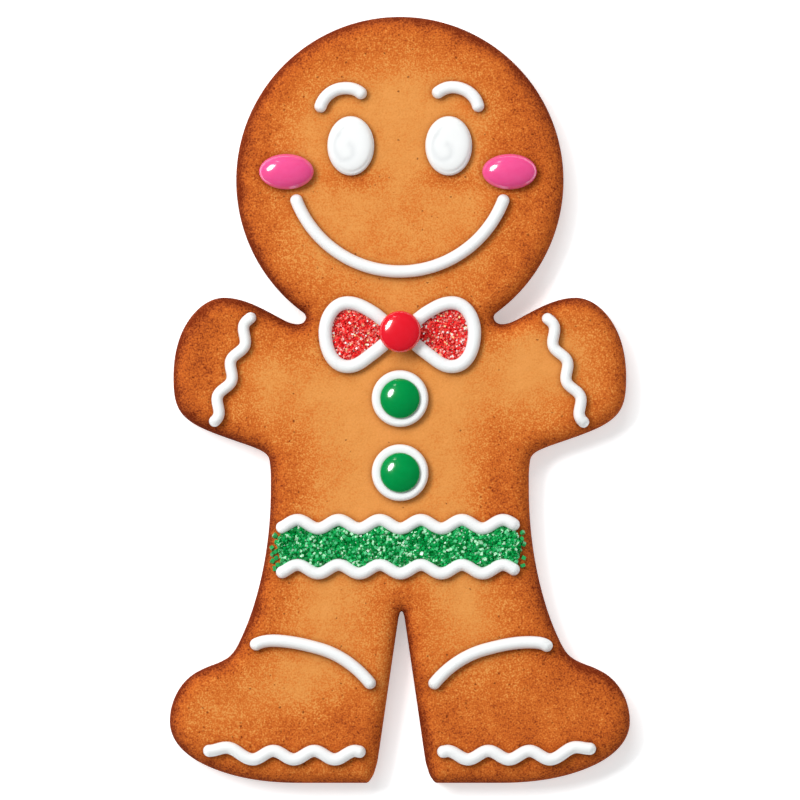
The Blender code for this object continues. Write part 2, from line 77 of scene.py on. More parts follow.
def linear(colour: str) -> tuple[float, float, float, float]:
    """Turns an sRGB hex colour into linear RGBA.

    Args:
        colour: The colour as "#rrggbb".

    Returns:
        The linear colour with full alpha.
    """
    shares = [int(colour[start:start + 2], 16) / 255.0 for start in (1, 3, 5)]
    bright = [c / 12.92 if c <= 0.04045 else ((c + 0.055) / 1.055) ** 2.4 for c in shares]
    return bright[0], bright[1], bright[2], 1.0


def add_node(
    tree: bpy.types.NodeTree,
    kind: str,
    settings: Optional[dict[Any, Any]] = None,
    links: Optional[dict[Any, bpy.types.NodeSocket]] = None,
) -> bpy.types.Node:
    """Adds a shader node with its settings and incoming links.

    Args:
        tree: The node tree that gets the node.
        kind: The node's type, such as "ShaderNodeMath".
        settings: Values by name; a lower-case name is a property of the node, any other key an input.
        links: Output sockets by the name or index of the input that each one feeds.

    Returns:
        The new node.
    """
    node = tree.nodes.new(kind)
    for key, value in (settings or {}).items():
        if isinstance(key, str) and key.islower():
            setattr(node, key, value)
        else:
            node.inputs[key].default_value = value
    for key, source in (links or {}).items():
        tree.links.new(source, node.inputs[key])
    return node


def fill_ramp(node: bpy.types.Node, stops: Sequence[tuple[float, str]]) -> None:
    """Sets the stops of a colour ramp.

    Args:
        node: The ColorRamp node.
        stops: Positions from 0 to 1 with their sRGB hex colours, lowest first.
    """
    elements = node.color_ramp.elements
    while len(elements) < len(stops):
        elements.new(1.0)
    for element, (place, colour) in zip(elements, stops):
        element.position = place
        element.color = linear(colour)


def new_material(name: str) -> tuple[bpy.types.Material, bpy.types.NodeTree, bpy.types.Node]:
    """Makes a material with one Principled shader.

    Args:
        name: The material's name.

    Returns:
        The material, its node tree and its Principled BSDF.
    """
    material = bpy.data.materials.new(name)
    material.use_nodes = True
    tree = material.node_tree
    return material, tree, tree.nodes["Principled BSDF"]


def place_on_surface(tree: bpy.types.NodeTree) -> bpy.types.NodeSocket:
    """The point on the piece, in millimetres, for patterns of a real size."""
    where = add_node(tree, "ShaderNodeTexCoord")
    scale = (PER_MM, PER_MM, PER_MM)
    settings = {"operation": "MULTIPLY", 1: scale}
    return add_node(tree, VECTOR_MATH, settings, {0: where.outputs["Object"]}).outputs["Vector"]


def speckle_field(
    tree: bpy.types.NodeTree,
    place: bpy.types.NodeSocket,
    size: float,
    detail: float,
) -> bpy.types.NodeSocket:
    """Noise from -1 to 1 whose blotches have a real size.

    Args:
        tree: The node tree.
        place: The point in millimetres.
        size: The size of a blotch in millimetres.
        detail: How many octaves of finer noise it carries.

    Returns:
        The noise as a value around 0.
    """
    settings = {"Scale": 1.0 / size, "Detail": detail, "Roughness": 0.6}
    cloud = add_node(tree, NOISE, settings, {"Vector": place})
    spread = {"operation": "MULTIPLY_ADD", 1: 2.0, 2: -1.0}
    return add_node(tree, MATH, spread, {0: cloud.outputs["Fac"]}).outputs["Value"]


def two_tones(
    tree: bpy.types.NodeTree,
    pattern: bpy.types.NodeSocket,
    first: str,
    second: str,
) -> bpy.types.NodeSocket:
    """A colour that drifts between two tones with a pattern.

    Args:
        tree: The node tree.
        pattern: A value from -1, the first tone, to 1, the second.
        first: The first tone as sRGB hex.
        second: The second tone.

    Returns:
        The colour.
    """
    halved = {"operation": "MULTIPLY_ADD", 1: 0.5, 2: 0.5, "use_clamp": True}
    share = add_node(tree, MATH, halved, {0: pattern}).outputs["Value"]
    tones = {"data_type": "RGBA", 6: linear(first), 7: linear(second)}
    return add_node(tree, MIX, tones, {0: share}).outputs[2]


@dataclass(frozen=True)
class BakedCrumb:
    """Gingerbread, rolled, cut and baked: a dry, matt crumb that browns towards its edges."""

    roughness: float = 0.9
    specular: float = 0.05
    ramp: tuple[tuple[float, str], ...] = (
        (0.00, "#e1954f"),
        (0.14, "#da8f48"),
        (0.32, "#d07330"),
        (0.50, "#c46325"),
        (0.66, "#b45620"),
        (0.82, "#97451d"),
        (1.00, "#70270b"),
    )
    cloud_size: float = 9.0
    cloud_depth: float = 0.12
    crumb_size: float = 0.72
    other_layers: tuple[tuple[float, float], ...] = ((0.36, 1.85), (1.9, 0.45), (4.5, 0.4))
    speck_cell: float = 1.05
    speck_reach: tuple[float, float] = (0.10, 0.21)
    speck_edge: float = 7.0
    speck_strength: float = 0.72
    speck_colour: str = "#64240b"
    ragged_size: float = 0.4
    ragged_reach: float = 0.6
    painted_shade_colour: str = "#c4b9b0"
    pore_size: float = 0.5
    pit_size: float = 1.4
    pit_share: float = 0.8
    speck_pit: float = 0.9
    bump_strength: float = 0.6
    bump_height: float = 0.10

    def tone(self, tree: bpy.types.NodeTree, place: bpy.types.NodeSocket) -> bpy.types.NodeSocket:
        """How brown the crumb is, with the painted light and shade that its browning carries.

        Args:
            tree: The node tree.
            place: The point in millimetres.

        Returns:
            From 0, pale, to 1, dark.
        """
        # Sugar and spice brown unevenly, so clouds, mottles and single crumbs of the dough differ in tone.
        # A real crumb is under a pixel wide in the picture, so crumbs are drawn coarse enough to show.
        browning_and_shade = add_node(tree, ATTRIBUTE, {"attribute_name": "browning_and_shade"}).outputs["Fac"]
        depth = add_node(tree, ATTRIBUTE, {"attribute_name": "crumb"}).outputs["Fac"]
        grain = speckle_field(tree, place, self.crumb_size, 1.0)
        for size, amount in self.other_layers:
            layer = speckle_field(tree, place, size, 1.0)
            settings = {"operation": "MULTIPLY_ADD", 1: amount}
            grain = add_node(tree, MATH, settings, {0: layer, 2: grain}).outputs["Value"]
        rough = add_node(tree, MATH, {"operation": "MULTIPLY_ADD"}, {0: grain, 1: depth, 2: browning_and_shade})
        cloud = speckle_field(tree, place, self.cloud_size, 2.0)
        settings = {"operation": "MULTIPLY_ADD", 1: self.cloud_depth}
        return add_node(tree, MATH, settings, {0: cloud, 2: rough.outputs["Value"]}).outputs["Value"]

    def specks(self, tree: bpy.types.NodeTree, place: bpy.types.NodeSocket) -> bpy.types.NodeSocket:
        """Where the dark specks lie.

        Args:
            tree: The node tree.
            place: The point in millimetres.

        Returns:
            From 0, none, to 1, the middle of a speck.
        """
        # Dark specks are grains of spice and burst bubbles, thicker where the dough browned most.
        ragged = add_node(tree, NOISE, {"Scale": 1.0 / self.ragged_size, "Detail": 1.0}, {"Vector": place})
        settings = {"operation": "MULTIPLY_ADD", 1: (self.ragged_reach,) * 3}
        bent = add_node(tree, VECTOR_MATH, settings, {0: ragged.outputs["Color"], 2: place}).outputs["Vector"]
        cells = add_node(tree, "ShaderNodeTexVoronoi", {"Scale": 1.0 / self.speck_cell}, {"Vector": bent})
        draw = add_node(tree, "ShaderNodeSeparateColor", links={"Color": cells.outputs["Color"]})
        smallest, spread = self.speck_reach
        settings = {"operation": "MULTIPLY_ADD", 1: spread, 2: smallest}
        reach = add_node(tree, MATH, settings, {0: draw.outputs["Green"]}).outputs["Value"]
        near = add_node(tree, MATH, {"operation": "SUBTRACT"}, {0: reach, 1: cells.outputs["Distance"]})
        settings = {"operation": "MULTIPLY", 1: self.speck_edge, "use_clamp": True}
        soft = add_node(tree, MATH, settings, {0: near.outputs["Value"]}).outputs["Value"]
        density = add_node(tree, ATTRIBUTE, {"attribute_name": "speckle"}).outputs["Fac"]
        chosen = add_node(tree, MATH, {"operation": "LESS_THAN"}, {0: draw.outputs["Red"], 1: density})
        shown = add_node(tree, MATH, {"operation": "MULTIPLY"}, {0: soft, 1: chosen.outputs["Value"]})
        return shown.outputs["Value"]

    def build(self) -> bpy.types.Material:
        """Makes the material.

        Returns:
            The material, which reads the browning_and_shade, crumb, speckle and painted_shade attributes of
            the mesh.
        """
        material, tree, shader = new_material("baked_gingerbread_crumb")
        place = place_on_surface(tree)
        ramp = add_node(tree, "ShaderNodeValToRGB", links={"Fac": self.tone(tree, place)})
        fill_ramp(ramp, self.ramp)
        speck = self.specks(tree, place)
        amount = add_node(tree, MATH, {"operation": "MULTIPLY", 1: self.speck_strength}, {0: speck})
        settings = {"data_type": "RGBA", 7: linear(self.speck_colour)}
        colour = add_node(tree, MIX, settings, {0: amount.outputs["Value"], 6: ramp.outputs["Color"]})
        # Painted shade: the dough beside the icing is darkened all round each trim, standing in for the shade
        # and shadow that fall there.
        painted_shade = add_node(tree, ATTRIBUTE, {"attribute_name": "painted_shade"}).outputs["Fac"]
        settings = {"data_type": "RGBA", "blend_type": "MULTIPLY", 7: linear(self.painted_shade_colour)}
        icing_shade = add_node(tree, MIX, settings, {0: painted_shade, 6: colour.outputs[2]})
        tree.links.new(icing_shade.outputs[2], shader.inputs["Base Color"])

        # The crumb is finely open, so light breaks up on it and nothing shines.
        pores = speckle_field(tree, place, self.pore_size, 2.0)
        pits = speckle_field(tree, place, self.pit_size, 2.0)
        relief = add_node(tree, MATH, {"operation": "MULTIPLY_ADD", 1: self.pit_share}, {0: pits, 2: pores})
        settings = {"operation": "MULTIPLY_ADD", 1: -self.speck_pit}
        sunk = add_node(tree, MATH, settings, {0: speck, 2: relief.outputs["Value"]})
        settings = {"Strength": self.bump_strength, "Distance": self.bump_height * MM}
        bump = add_node(tree, BUMP, settings, {"Height": sunk.outputs["Value"]})
        tree.links.new(bump.outputs["Normal"], shader.inputs["Normal"])
        shader.inputs["Roughness"].default_value = self.roughness
        shader.inputs["Specular IOR Level"].default_value = self.specular
        return material


@dataclass(frozen=True)
class RoyalIcing:
    """Royal icing, piped and air dried: dense, white and smooth, with a low satin sheen."""

    white: str = "#f1f1f0"
    shade: str = "#ededec"
    groove_shade_tone: str = "#eff0f1"
    roughness: float = 0.38
    cloud_size: float = 3.0
    peel_size: float = 0.5
    peel_strength: float = 0.25
    peel_height: float = 0.02

    def build(self) -> bpy.types.Material:
        """Makes the material.

        Returns:
            The icing's material.
        """
        material, tree, shader = new_material("royal_icing_piped")
        place = place_on_surface(tree)
        # Drying leaves faintly duller clouds a few millimetres wide in the white.
        clouds = speckle_field(tree, place, self.cloud_size, 2.0)
        colour = two_tones(tree, clouds, self.white, self.shade)
        # Painted shade: the white is made greyer along the furrow that the nozzle left, standing in for the
        # shade in the groove.
        groove_shade = add_node(tree, ATTRIBUTE, {"attribute_name": "groove_shade"}).outputs["Fac"]
        settings = {"data_type": "RGBA", "blend_type": "MULTIPLY", 7: linear(self.groove_shade_tone)}
        groove_shaded = add_node(tree, MIX, settings, {0: groove_shade, 6: colour})
        tree.links.new(groove_shaded.outputs[2], shader.inputs["Base Color"])
        # The skin has the fine orange-peel of dried egg white.
        peel = speckle_field(tree, place, self.peel_size, 2.0)
        settings = {"Strength": self.peel_strength, "Distance": self.peel_height * MM}
        bump = add_node(tree, BUMP, settings, {"Height": peel})
        tree.links.new(bump.outputs["Normal"], shader.inputs["Normal"])
        shader.inputs["Roughness"].default_value = self.roughness
        shader.inputs["IOR"].default_value = 1.45
        shader.inputs["Subsurface Weight"].default_value = 0.12
        shader.inputs["Subsurface Radius"].default_value = (1.0, 1.0, 1.0)
        shader.inputs["Subsurface Scale"].default_value = 0.5 * MM
        return material


class ShellColour(Enum):
    """The colours of the sugar shells, as a fuller tone and the thinner tone of their mottling."""

    PINK = ("#ed4e8f", "#f15b99")
    RED = ("#e31727", "#e81f31")
    GREEN = ("#008f45", "#009a4b")


@dataclass(frozen=True)
class SugarShell:
    """A panned and polished sugar shell: smooth, hard and glossy under a thin layer of wax."""

    colour: ShellColour
    roughness: float = 0.2
    dulling: float = 0.05
    wax_roughness: float = 0.1
    mottle_size: float = 1.3

    def build(self) -> bpy.types.Material:
        """Makes the material.

        Returns:
            The shell's material.
        """
        material, tree, shader = new_material(f"{self.colour.name.lower()}_sugar_shell")
        place = place_on_surface(tree)
        # Colour goes on in many thin coats, which leaves a faint mottle about a millimetre wide.
        mottle = speckle_field(tree, place, self.mottle_size, 2.0)
        tree.links.new(two_tones(tree, mottle, *self.colour.value), shader.inputs["Base Color"])
        # Polishing leaves the sugar under the wax a touch duller in places.
        settings = {"operation": "MULTIPLY_ADD", 1: self.dulling, 2: self.roughness}
        polish = add_node(tree, MATH, settings, {0: mottle})
        tree.links.new(polish.outputs["Value"], shader.inputs["Roughness"])
        shader.inputs["IOR"].default_value = 1.5
        shader.inputs["Subsurface Weight"].default_value = 0.35
        shader.inputs["Subsurface Radius"].default_value = (1.0, 0.5, 0.5)
        shader.inputs["Subsurface Scale"].default_value = 1.2 * MM
        shader.inputs["Coat Weight"].default_value = 1.0
        shader.inputs["Coat Roughness"].default_value = self.wax_roughness
        shader.inputs["Coat IOR"].default_value = 1.7
        return material


@dataclass(frozen=True)
class SandingSugar:
    """Coloured sanding sugar: clear crystals with flat faces, dyed on the outside, that glint."""

    name: str
    roughness: float = 0.16
    patch_size: float = 0.45
    patch_depth: float = 0.16

    def build(self) -> bpy.types.Material:
        """Makes the material.

        Returns:
            The material, which reads each crystal's colour from the mesh.
        """
        material, tree, shader = new_material(self.name)
        place = place_on_surface(tree)
        dye = add_node(tree, ATTRIBUTE, {"attribute_name": "dye"}).outputs["Color"]
        # The dye sits unevenly on a crystal, thinner on its faces than in its corners.
        patch = speckle_field(tree, place, self.patch_size, 2.0)
        share = add_node(tree, MATH, {"operation": "MULTIPLY_ADD", 1: self.patch_depth, 2: 1.0}, {0: patch})
        links = {0: dye, "Scale": share.outputs["Value"]}
        colour = add_node(tree, VECTOR_MATH, {"operation": "SCALE"}, links)
        tree.links.new(colour.outputs["Vector"], shader.inputs["Base Color"])
        shader.inputs["Roughness"].default_value = self.roughness
        shader.inputs["IOR"].default_value = 1.54
        return material


@dataclass(frozen=True)
class PaleFloor:
    """A plain matt white studio sheet, lit from below as well."""

    white: str = "#fbfbfb"
    shade: str = "#f8f8f8"
    cloud_size: float = 60.0
    roughness: float = 0.9
    glow: float = 0.4

    def build(self) -> bpy.types.Material:
        """Makes the material.

        Returns:
            The sheet's material.
        """
        material, tree, shader = new_material("white_studio_sheet")
        clouds = speckle_field(tree, place_on_surface(tree), self.cloud_size, 2.0)
        tree.links.new(two_tones(tree, clouds, self.white, self.shade), shader.inputs["Base Color"])
        shader.inputs["Roughness"].default_value = self.roughness
        # The sheet is lit softly from below, which keeps the shadows on it pale.
        shader.inputs["Emission Color"].default_value = linear(self.white)
        shader.inputs["Emission Strength"].default_value = self.glow
        return material


def new_piece(
    name: str,
    points: Sequence[Sequence[float]],
    faces: Sequence[Sequence[int]],
    material: bpy.types.Material,
    node: str,
    smooth: bool = True,
) -> bpy.types.Object:
    """Makes a visible piece that stands for one solid and rides on the body.

    Args:
        name: The piece's name.
        points: Its vertices in millimetres.
        faces: Its faces as indices into points.
        material: Its material.
        node: The solid that it replaces.
        smooth: Whether its faces are shaded smooth.

    Returns:
        The new object.
    """
    mesh = bpy.data.meshes.new(name)
    mesh.from_pydata((np.asarray(points, float) * MM).tolist(), [], faces)
    mesh.validate()
    if smooth:
        mesh.shade_smooth()
    mesh.materials.append(material)
    piece = bpy.data.objects.new(name, mesh)
    bpy.context.scene.collection.objects.link(piece)
    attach(piece, BODY)
    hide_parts(node)
    LOG.info("%s: %d faces in place of %s", name, len(mesh.polygons), node)
    return piece


def add_values(piece: bpy.types.Object, name: str, values: np.ndarray) -> None:
    """Gives each vertex of a piece a number that its material reads.

    Args:
        piece: The piece.
        name: The attribute's name.
        values: One number for each vertex.
    """
    attribute = piece.data.attributes.new(name, "FLOAT", "POINT")
    attribute.data.foreach_set("value", np.asarray(values, np.float32))


def stretch(start: Anchor, end: Anchor, steps: int) -> list[tuple[float, float]]:
    """Points on a cubic curve that leaves and arrives with the given headings.

    Args:
        start: x, y and heading in degrees where it leaves.
        end: The same where it arrives.
        steps: How many points it gives.

    Returns:
        The points from start up to but not including end.
    """
    (x0, y0, heading0), (x1, y1, heading1) = start, end
    turn = math.radians((heading1 - heading0 + 180.0) % 360.0 - 180.0)
    reach = math.hypot(x1 - x0, y1 - y0) / (3.0 * math.cos(turn / 4.0) ** 2)
    a0, a1 = math.radians(heading0), math.radians(heading1)
    controls = np.array([
        (x0, y0),
        (x0 + reach * math.cos(a0), y0 + reach * math.sin(a0)),
        (x1 - reach * math.cos(a1), y1 - reach * math.sin(a1)),
        (x1, y1),
    ])
    t = np.arange(steps)[:, None] / steps
    weights = np.hstack([(1 - t) ** 3, 3 * t * (1 - t) ** 2, 3 * t**2 * (1 - t), t**3])
    return [tuple(p) for p in weights @ controls]


def curve(anchors: Sequence[Anchor], steps: int = 30) -> Path:
    """A path through anchors.

    Args:
        anchors: x, y and heading in degrees of each point that it passes.
        steps: How many points each stretch gives.

    Returns:
        The path's points.
    """
    found: list[tuple[float, float]] = []
    for start, end in zip(anchors, anchors[1:]):
        found += stretch(start, end, steps)
    return np.array([*found, anchors[-1][:2]])


def respaced(path: Path, step: float) -> Path:
    """The same path with its points an even step apart, or slightly less."""
    lengths = np.concatenate([[0.0], np.cumsum(np.linalg.norm(np.diff(path, axis=0), axis=1))])
    at = np.linspace(0.0, lengths[-1], max(2, math.ceil(lengths[-1] / step)) + 1)
    return np.stack([np.interp(at, lengths, path[:, axis]) for axis in (0, 1)], axis=1)


def flipped(path: Path, centre_x: float = 0.0) -> Path:
    """A path mirrored about a vertical line."""
    return np.stack([2.0 * centre_x - path[:, 0], path[:, 1]], axis=1)


def headings(path: Path) -> Path:
    """The unit direction of a path at each of its points."""
    along = np.gradient(path, axis=0)
    return along / np.linalg.norm(along, axis=1)[:, None]


def inward_of(loop: Path) -> Path:
    """The unit direction into a clockwise loop at each of its points."""
    along = headings(np.vstack([loop[-1:], loop, loop[:1]]))[1:-1]
    return np.stack([along[:, 1], -along[:, 0]], axis=1)


def grain_noise(points: np.ndarray, size: float, seed: float) -> np.ndarray:
    """Smooth noise from -1 to 1 at points of a plane.

    Args:
        points: The points in millimetres.
        size: The size of a bump in millimetres.
        seed: Which layer of the noise it reads.

    Returns:
        One value for each point.
    """
    return np.array([noise.noise(Vector((x / size, y / size, seed))) for x, y in points])


def fill_loop(loop: Path, inner: np.ndarray) -> list[tuple[int, ...]]:
    """Triangles that fill a loop and use the points inside it.

    Args:
        loop: The closed loop's points.
        inner: The points inside it.

    Returns:
        Triangles as indices into loop and then inner.
    """
    flat = [Vector(p) for p in np.vstack([loop, inner])]
    border = [(i, (i + 1) % len(loop)) for i in range(len(loop))]
    result = delaunay_2d_cdt(flat, border, [], 1, 1e-6)
    source = [origins[0] for origins in result[3]]
    return [tuple(source[i] for i in face) for face in result[2]]


def lattice(
    low: Sequence[float],
    high: Sequence[float],
    pitch: float,
    jitter: float,
    draw: np.random.Generator,
) -> np.ndarray:
    """Points of a triangular lattice over a rectangle, each moved a little.

    Args:
        low: The rectangle's lowest corner.
        high: Its highest corner.
        pitch: The distance between neighbours.
        jitter: How far a point may move, as a share of the pitch.
        draw: The source of the random moves.

    Returns:
        The points.
    """
    rows = np.arange(low[1], high[1] + pitch, pitch * math.sqrt(0.75))
    columns = np.arange(low[0] - pitch, high[0] + pitch, pitch)
    x, y = np.meshgrid(columns, rows)
    x[1::2] += pitch / 2.0
    points = np.stack([x.ravel(), y.ravel()], axis=1)
    return points + draw.uniform(-jitter, jitter, points.shape) * pitch


def search_tree(points: np.ndarray) -> KDTree:
    """A tree that finds the nearest of some points.

    Args:
        points: Points in the plane.

    Returns:
        The tree, balanced, with each point's index.
    """
    tree = KDTree(len(points))
    for index, (x, y) in enumerate(points):
        tree.insert((x, y, 0.0), index)
    tree.balance()
    return tree


@dataclass(frozen=True)
class NoiseLayer:
    """A layer of smooth noise: its strength, the size of its blotches and the level it is cut at."""

    amount: float
    size: float
    level: float

    def at(self, points: np.ndarray) -> np.ndarray:
        """Its value at points, from minus the amount to the amount."""
        return self.amount * grain_noise(points, self.size, self.level)


@dataclass
class LoopRegion:
    """The area inside a closed loop of points."""

    loop: Path
    chunk: int = 4000

    def distance(self, points: np.ndarray) -> np.ndarray:
        """The distance from each point to the loop.

        Args:
            points: The points.

        Returns:
            One distance for each point.
        """
        starts = self.loop
        along = np.roll(starts, -1, axis=0) - starts
        squares = (along * along).sum(-1)
        found = []
        for first in range(0, len(points), self.chunk):
            offset = points[first:first + self.chunk, None, :] - starts[None, :, :]
            share = np.clip((offset * along).sum(-1) / squares, 0.0, 1.0)
            gap = offset - share[..., None] * along
            found.append(np.sqrt((gap * gap).sum(-1)).min(axis=1))
        return np.concatenate(found) if found else np.zeros(0)

    def holds(self, points: np.ndarray) -> np.ndarray:
        """Which points lie inside the loop.

        Args:
            points: The points.

        Returns:
            One truth value for each point.
        """
        x0, y0 = self.loop[:, 0], self.loop[:, 1]
        x1, y1 = np.roll(x0, -1), np.roll(y0, -1)
        rise = np.where(y1 == y0, 1.0, y1 - y0)
        found = []
        for first in range(0, len(points), self.chunk):
            x = points[first:first + self.chunk, 0][:, None]
            y = points[first:first + self.chunk, 1][:, None]
            crosses = ((y0 > y) != (y1 > y)) & (x < x0 + (y - y0) * (x1 - x0) / rise)
            found.append(crosses.sum(axis=1) % 2 == 1)
        return np.concatenate(found) if found else np.zeros(0, bool)


@dataclass(frozen=True)
class BrowningAndShadePatch:
    """A place where the dough is darker, or paler where the amount is negative: most are uneven browning,
    some painted shade or painted light.
    """

    x: float
    y: float
    reach_x: float
    reach_y: float
    amount: float
    spread: float = 1.4

    def at(self, points: np.ndarray) -> np.ndarray:
        """What it adds to the browning at points."""
        across = ((points[:, 0] - self.x) / self.reach_x) ** 2
        along = ((points[:, 1] - self.y) / self.reach_y) ** 2
        return self.amount * np.exp(-(across + along) / self.spread)


@dataclass
class GingerbreadSlab:
    """The baked slab: its cutter line, its rounded rim, its crumb, how it browned and the light and shade
    painted on its colour.
    """

    head_centre: tuple[float, float] = (0.0, 48.3)
    head_radius: float = 36.05
    neck_angle: float = -53.7
    body: tuple[Anchor, ...] = (
        (20.68, 18.20, -88.0),
        (22.40, 16.72, 0.0),
        (27.60, 18.72, 28.0),
        (38.66, 22.54, 0.0),
        (46.15, 18.05, -53.5),
        (49.85, 4.95, -90.0),
        (47.70, -3.35, -132.5),
        (42.15, -6.83, -157.2),
        (36.00, -9.10, -161.0),
        (30.90, -11.00, -155.0),
        (28.75, -13.10, -101.0),
        (28.43, -19.50, -90.0),
        (32.08, -44.90, -73.0),
        (34.85, -52.20, -65.0),
        (36.95, -55.85, -49.0),
        (42.50, -58.80, -22.5),
        (46.92, -61.54, -45.0),
        (50.65, -70.75, -90.0),
        (42.50, -80.52, -155.5),
        (22.00, -84.30, 180.0),
    )
    slit_centre: float = 0.37
    slit: tuple[Anchor, ...] = (
        (8.15, -84.30, 180.0),
        (6.89, -83.10, 126.0),
        (6.25, -81.70, 106.0),
        (5.54, -79.00, 98.5),
        (1.10, -48.60, 98.6),
        (0.84, -47.30, 111.0),
    )
    slit_top: float = -46.50
    thickness: float = 8.0
    edge_reach: float = 4.2
    edge_drop: float = 3.4
    edge_rings: tuple[float, ...] = (0.12, 0.4, 0.85, 1.4, 2.1, 2.9, 3.8)
    wall_levels: tuple[tuple[float, float], ...] = (
        (0.0, 3.7),
        (-0.01, 2.8),
        (0.0, 1.9),
        (0.05, 1.0),
        (0.25, 0.45),
        (0.55, 0.12),
        (0.95, 0.0),
    )
    outline_step: float = 0.42
    inset: float = 0.02
    pitch: float = 0.55
    underside_pitch: float = 2.6
    seed: int = 5
    patches: tuple[BrowningAndShadePatch, ...] = (
        BrowningAndShadePatch(-44.0, 8.0, 8.0, 13.0, 0.30),
        BrowningAndShadePatch(44.0, 8.0, 8.0, 13.0, 0.0),
        BrowningAndShadePatch(49.0, 6.0, 1.6, 12.0, 0.06),
        BrowningAndShadePatch(-48.0, 8.0, 1.8, 12.0, -0.20),
        BrowningAndShadePatch(-26.0, -17.0, 6.0, 9.0, 0.12),
        BrowningAndShadePatch(-28.4, -18.0, 1.5, 14.0, -0.15),
        BrowningAndShadePatch(-26.0, -47.0, 6.0, 7.0, 0.07),
        BrowningAndShadePatch(21.5, -18.0, 4.0, 12.0, 0.22),
        # Painted light: the body's right edge is a little paler, offsetting the shade on the edge turned away
        # from the lamp.
        BrowningAndShadePatch(28.6, -18.0, 1.2, 12.0, -0.03),
        BrowningAndShadePatch(25.8, -16.5, 2.4, 4.5, -0.11),
        BrowningAndShadePatch(25.0, -34.0, 6.0, 8.0, 0.08),
        BrowningAndShadePatch(30.0, -46.0, 9.0, 10.0, 0.15),
        BrowningAndShadePatch(28.0, 12.0, 7.0, 8.0, -0.20),
        BrowningAndShadePatch(-19.0, -72.0, 16.0, 5.0, 0.31),
        BrowningAndShadePatch(24.0, -70.0, 17.0, 10.0, 0.34),
        BrowningAndShadePatch(43.0, -68.0, 7.0, 9.0, 0.10),
        # Painted light: both edges of the slit between the legs are paler, offsetting the shade in the slit.
        BrowningAndShadePatch(-2.6, -67.0, 1.8, 14.0, -0.31),
        BrowningAndShadePatch(3.4, -67.0, 1.6, 14.0, -0.16),
        BrowningAndShadePatch(0.4, -67.0, 6.0, 13.0, -0.07),
        BrowningAndShadePatch(-24.0, -82.0, 20.0, 2.0, -0.06),
        BrowningAndShadePatch(24.0, -82.0, 20.0, 2.0, -0.09),
        BrowningAndShadePatch(24.0, -73.5, 14.0, 1.6, 0.04),
        BrowningAndShadePatch(-8.5, -58.0, 3.0, 8.0, -0.06),
        BrowningAndShadePatch(0.4, -44.8, 2.6, 2.6, 0.08),
        BrowningAndShadePatch(-7.0, -66.0, 2.6, 12.0, -0.06),
        BrowningAndShadePatch(7.8, -66.0, 2.6, 12.0, -0.09),
        BrowningAndShadePatch(-16.0, -46.0, 8.0, 6.0, -0.04),
        BrowningAndShadePatch(16.0, -46.0, 8.0, 6.0, -0.06),
        BrowningAndShadePatch(0.0, 79.0, 30.0, 7.0, 0.10),
        BrowningAndShadePatch(-31.0, 54.0, 7.0, 22.0, 0.15),
        BrowningAndShadePatch(27.0, 54.0, 7.0, 22.0, 0.24),
        BrowningAndShadePatch(0.0, 38.0, 13.0, 17.0, 0.12),
        # Painted shadow: the dough just below each eye is darker where the eye's shadow falls.
        BrowningAndShadePatch(-10.0, 48.6, 5.5, 2.2, 0.24),
        BrowningAndShadePatch(11.6, 48.6, 5.5, 2.2, 0.24),
    )
    crumb_by_browning: tuple[tuple[float, float], ...] = (
        (0.0, 0.07),
        (0.1, 0.075),
        (0.2, 0.105),
        (0.3, 0.19),
        (0.4, 0.26),
        (0.55, 0.27),
        (0.8, 0.20),
        (1.0, 0.15),
    )
    lit_from: tuple[float, float] = (-0.857, 0.515)
    swell: NoiseLayer = NoiseLayer(0.07, 13.0, 1.0)
    crumb: NoiseLayer = NoiseLayer(0.035, 2.4, 2.0)
    wall_ripple: tuple[NoiseLayer, NoiseLayer] = (NoiseLayer(0.06, 3.0, 3.0), NoiseLayer(0.03, 1.1, 4.0))
    raggedness: tuple[NoiseLayer, NoiseLayer] = (NoiseLayer(0.42, 3.4, 5.0), NoiseLayer(0.30, 1.5, 6.0))
    rim_tone: float = 0.36
    rim_reach: float = 1.75
    # Painted light and shade: a narrow dark band along edges that face the key lamp, against the light they
    # catch, and along edges turned away, as painted shade.
    lamp_edge_tones: tuple[float, float] = (0.10, 0.11)
    lamp_edge_reach: float = 0.6
    face_tone: float = 0.56
    face_reach: float = 8.5
    face_reach_away: float = 1.5
    face_raggedness: float = 0.3
    middle_tone: float = 0.06
    painted_shade_rim: tuple[float, float] = (0.50, 0.6)
    painted_shade_halo: tuple[float, float] = (0.25, 1.6)
    painted_shade_step: float = 0.3
    jitter: float = 0.12
    grid_clear: float = 0.55
    relief_from: float = 1.5
    even_below: float = 0.3
    wall_tone: float = 0.80
    wall_mottle: float = 0.1
    underside_jitter: float = 0.1
    underside_clear: float = 2.0
    underside_tone: float = 0.55
    underside_rim: tuple[float, float] = (0.25, 7.0)
    speckle_gain: float = 1.1
    speckle_from: float = 0.12
    speckle_range: tuple[float, float] = (0.02, 0.45)

    def __post_init__(self) -> None:
        """Draws the outline."""
        self.region = LoopRegion(self.outline())

    def mirrored(self, anchors: Sequence[Anchor], centre_x: float = 0.0) -> tuple[Anchor, ...]:
        """Anchors on the other side of a vertical line, walked the other way."""
        return tuple((2.0 * centre_x - x, y, -heading) for x, y, heading in reversed(anchors))

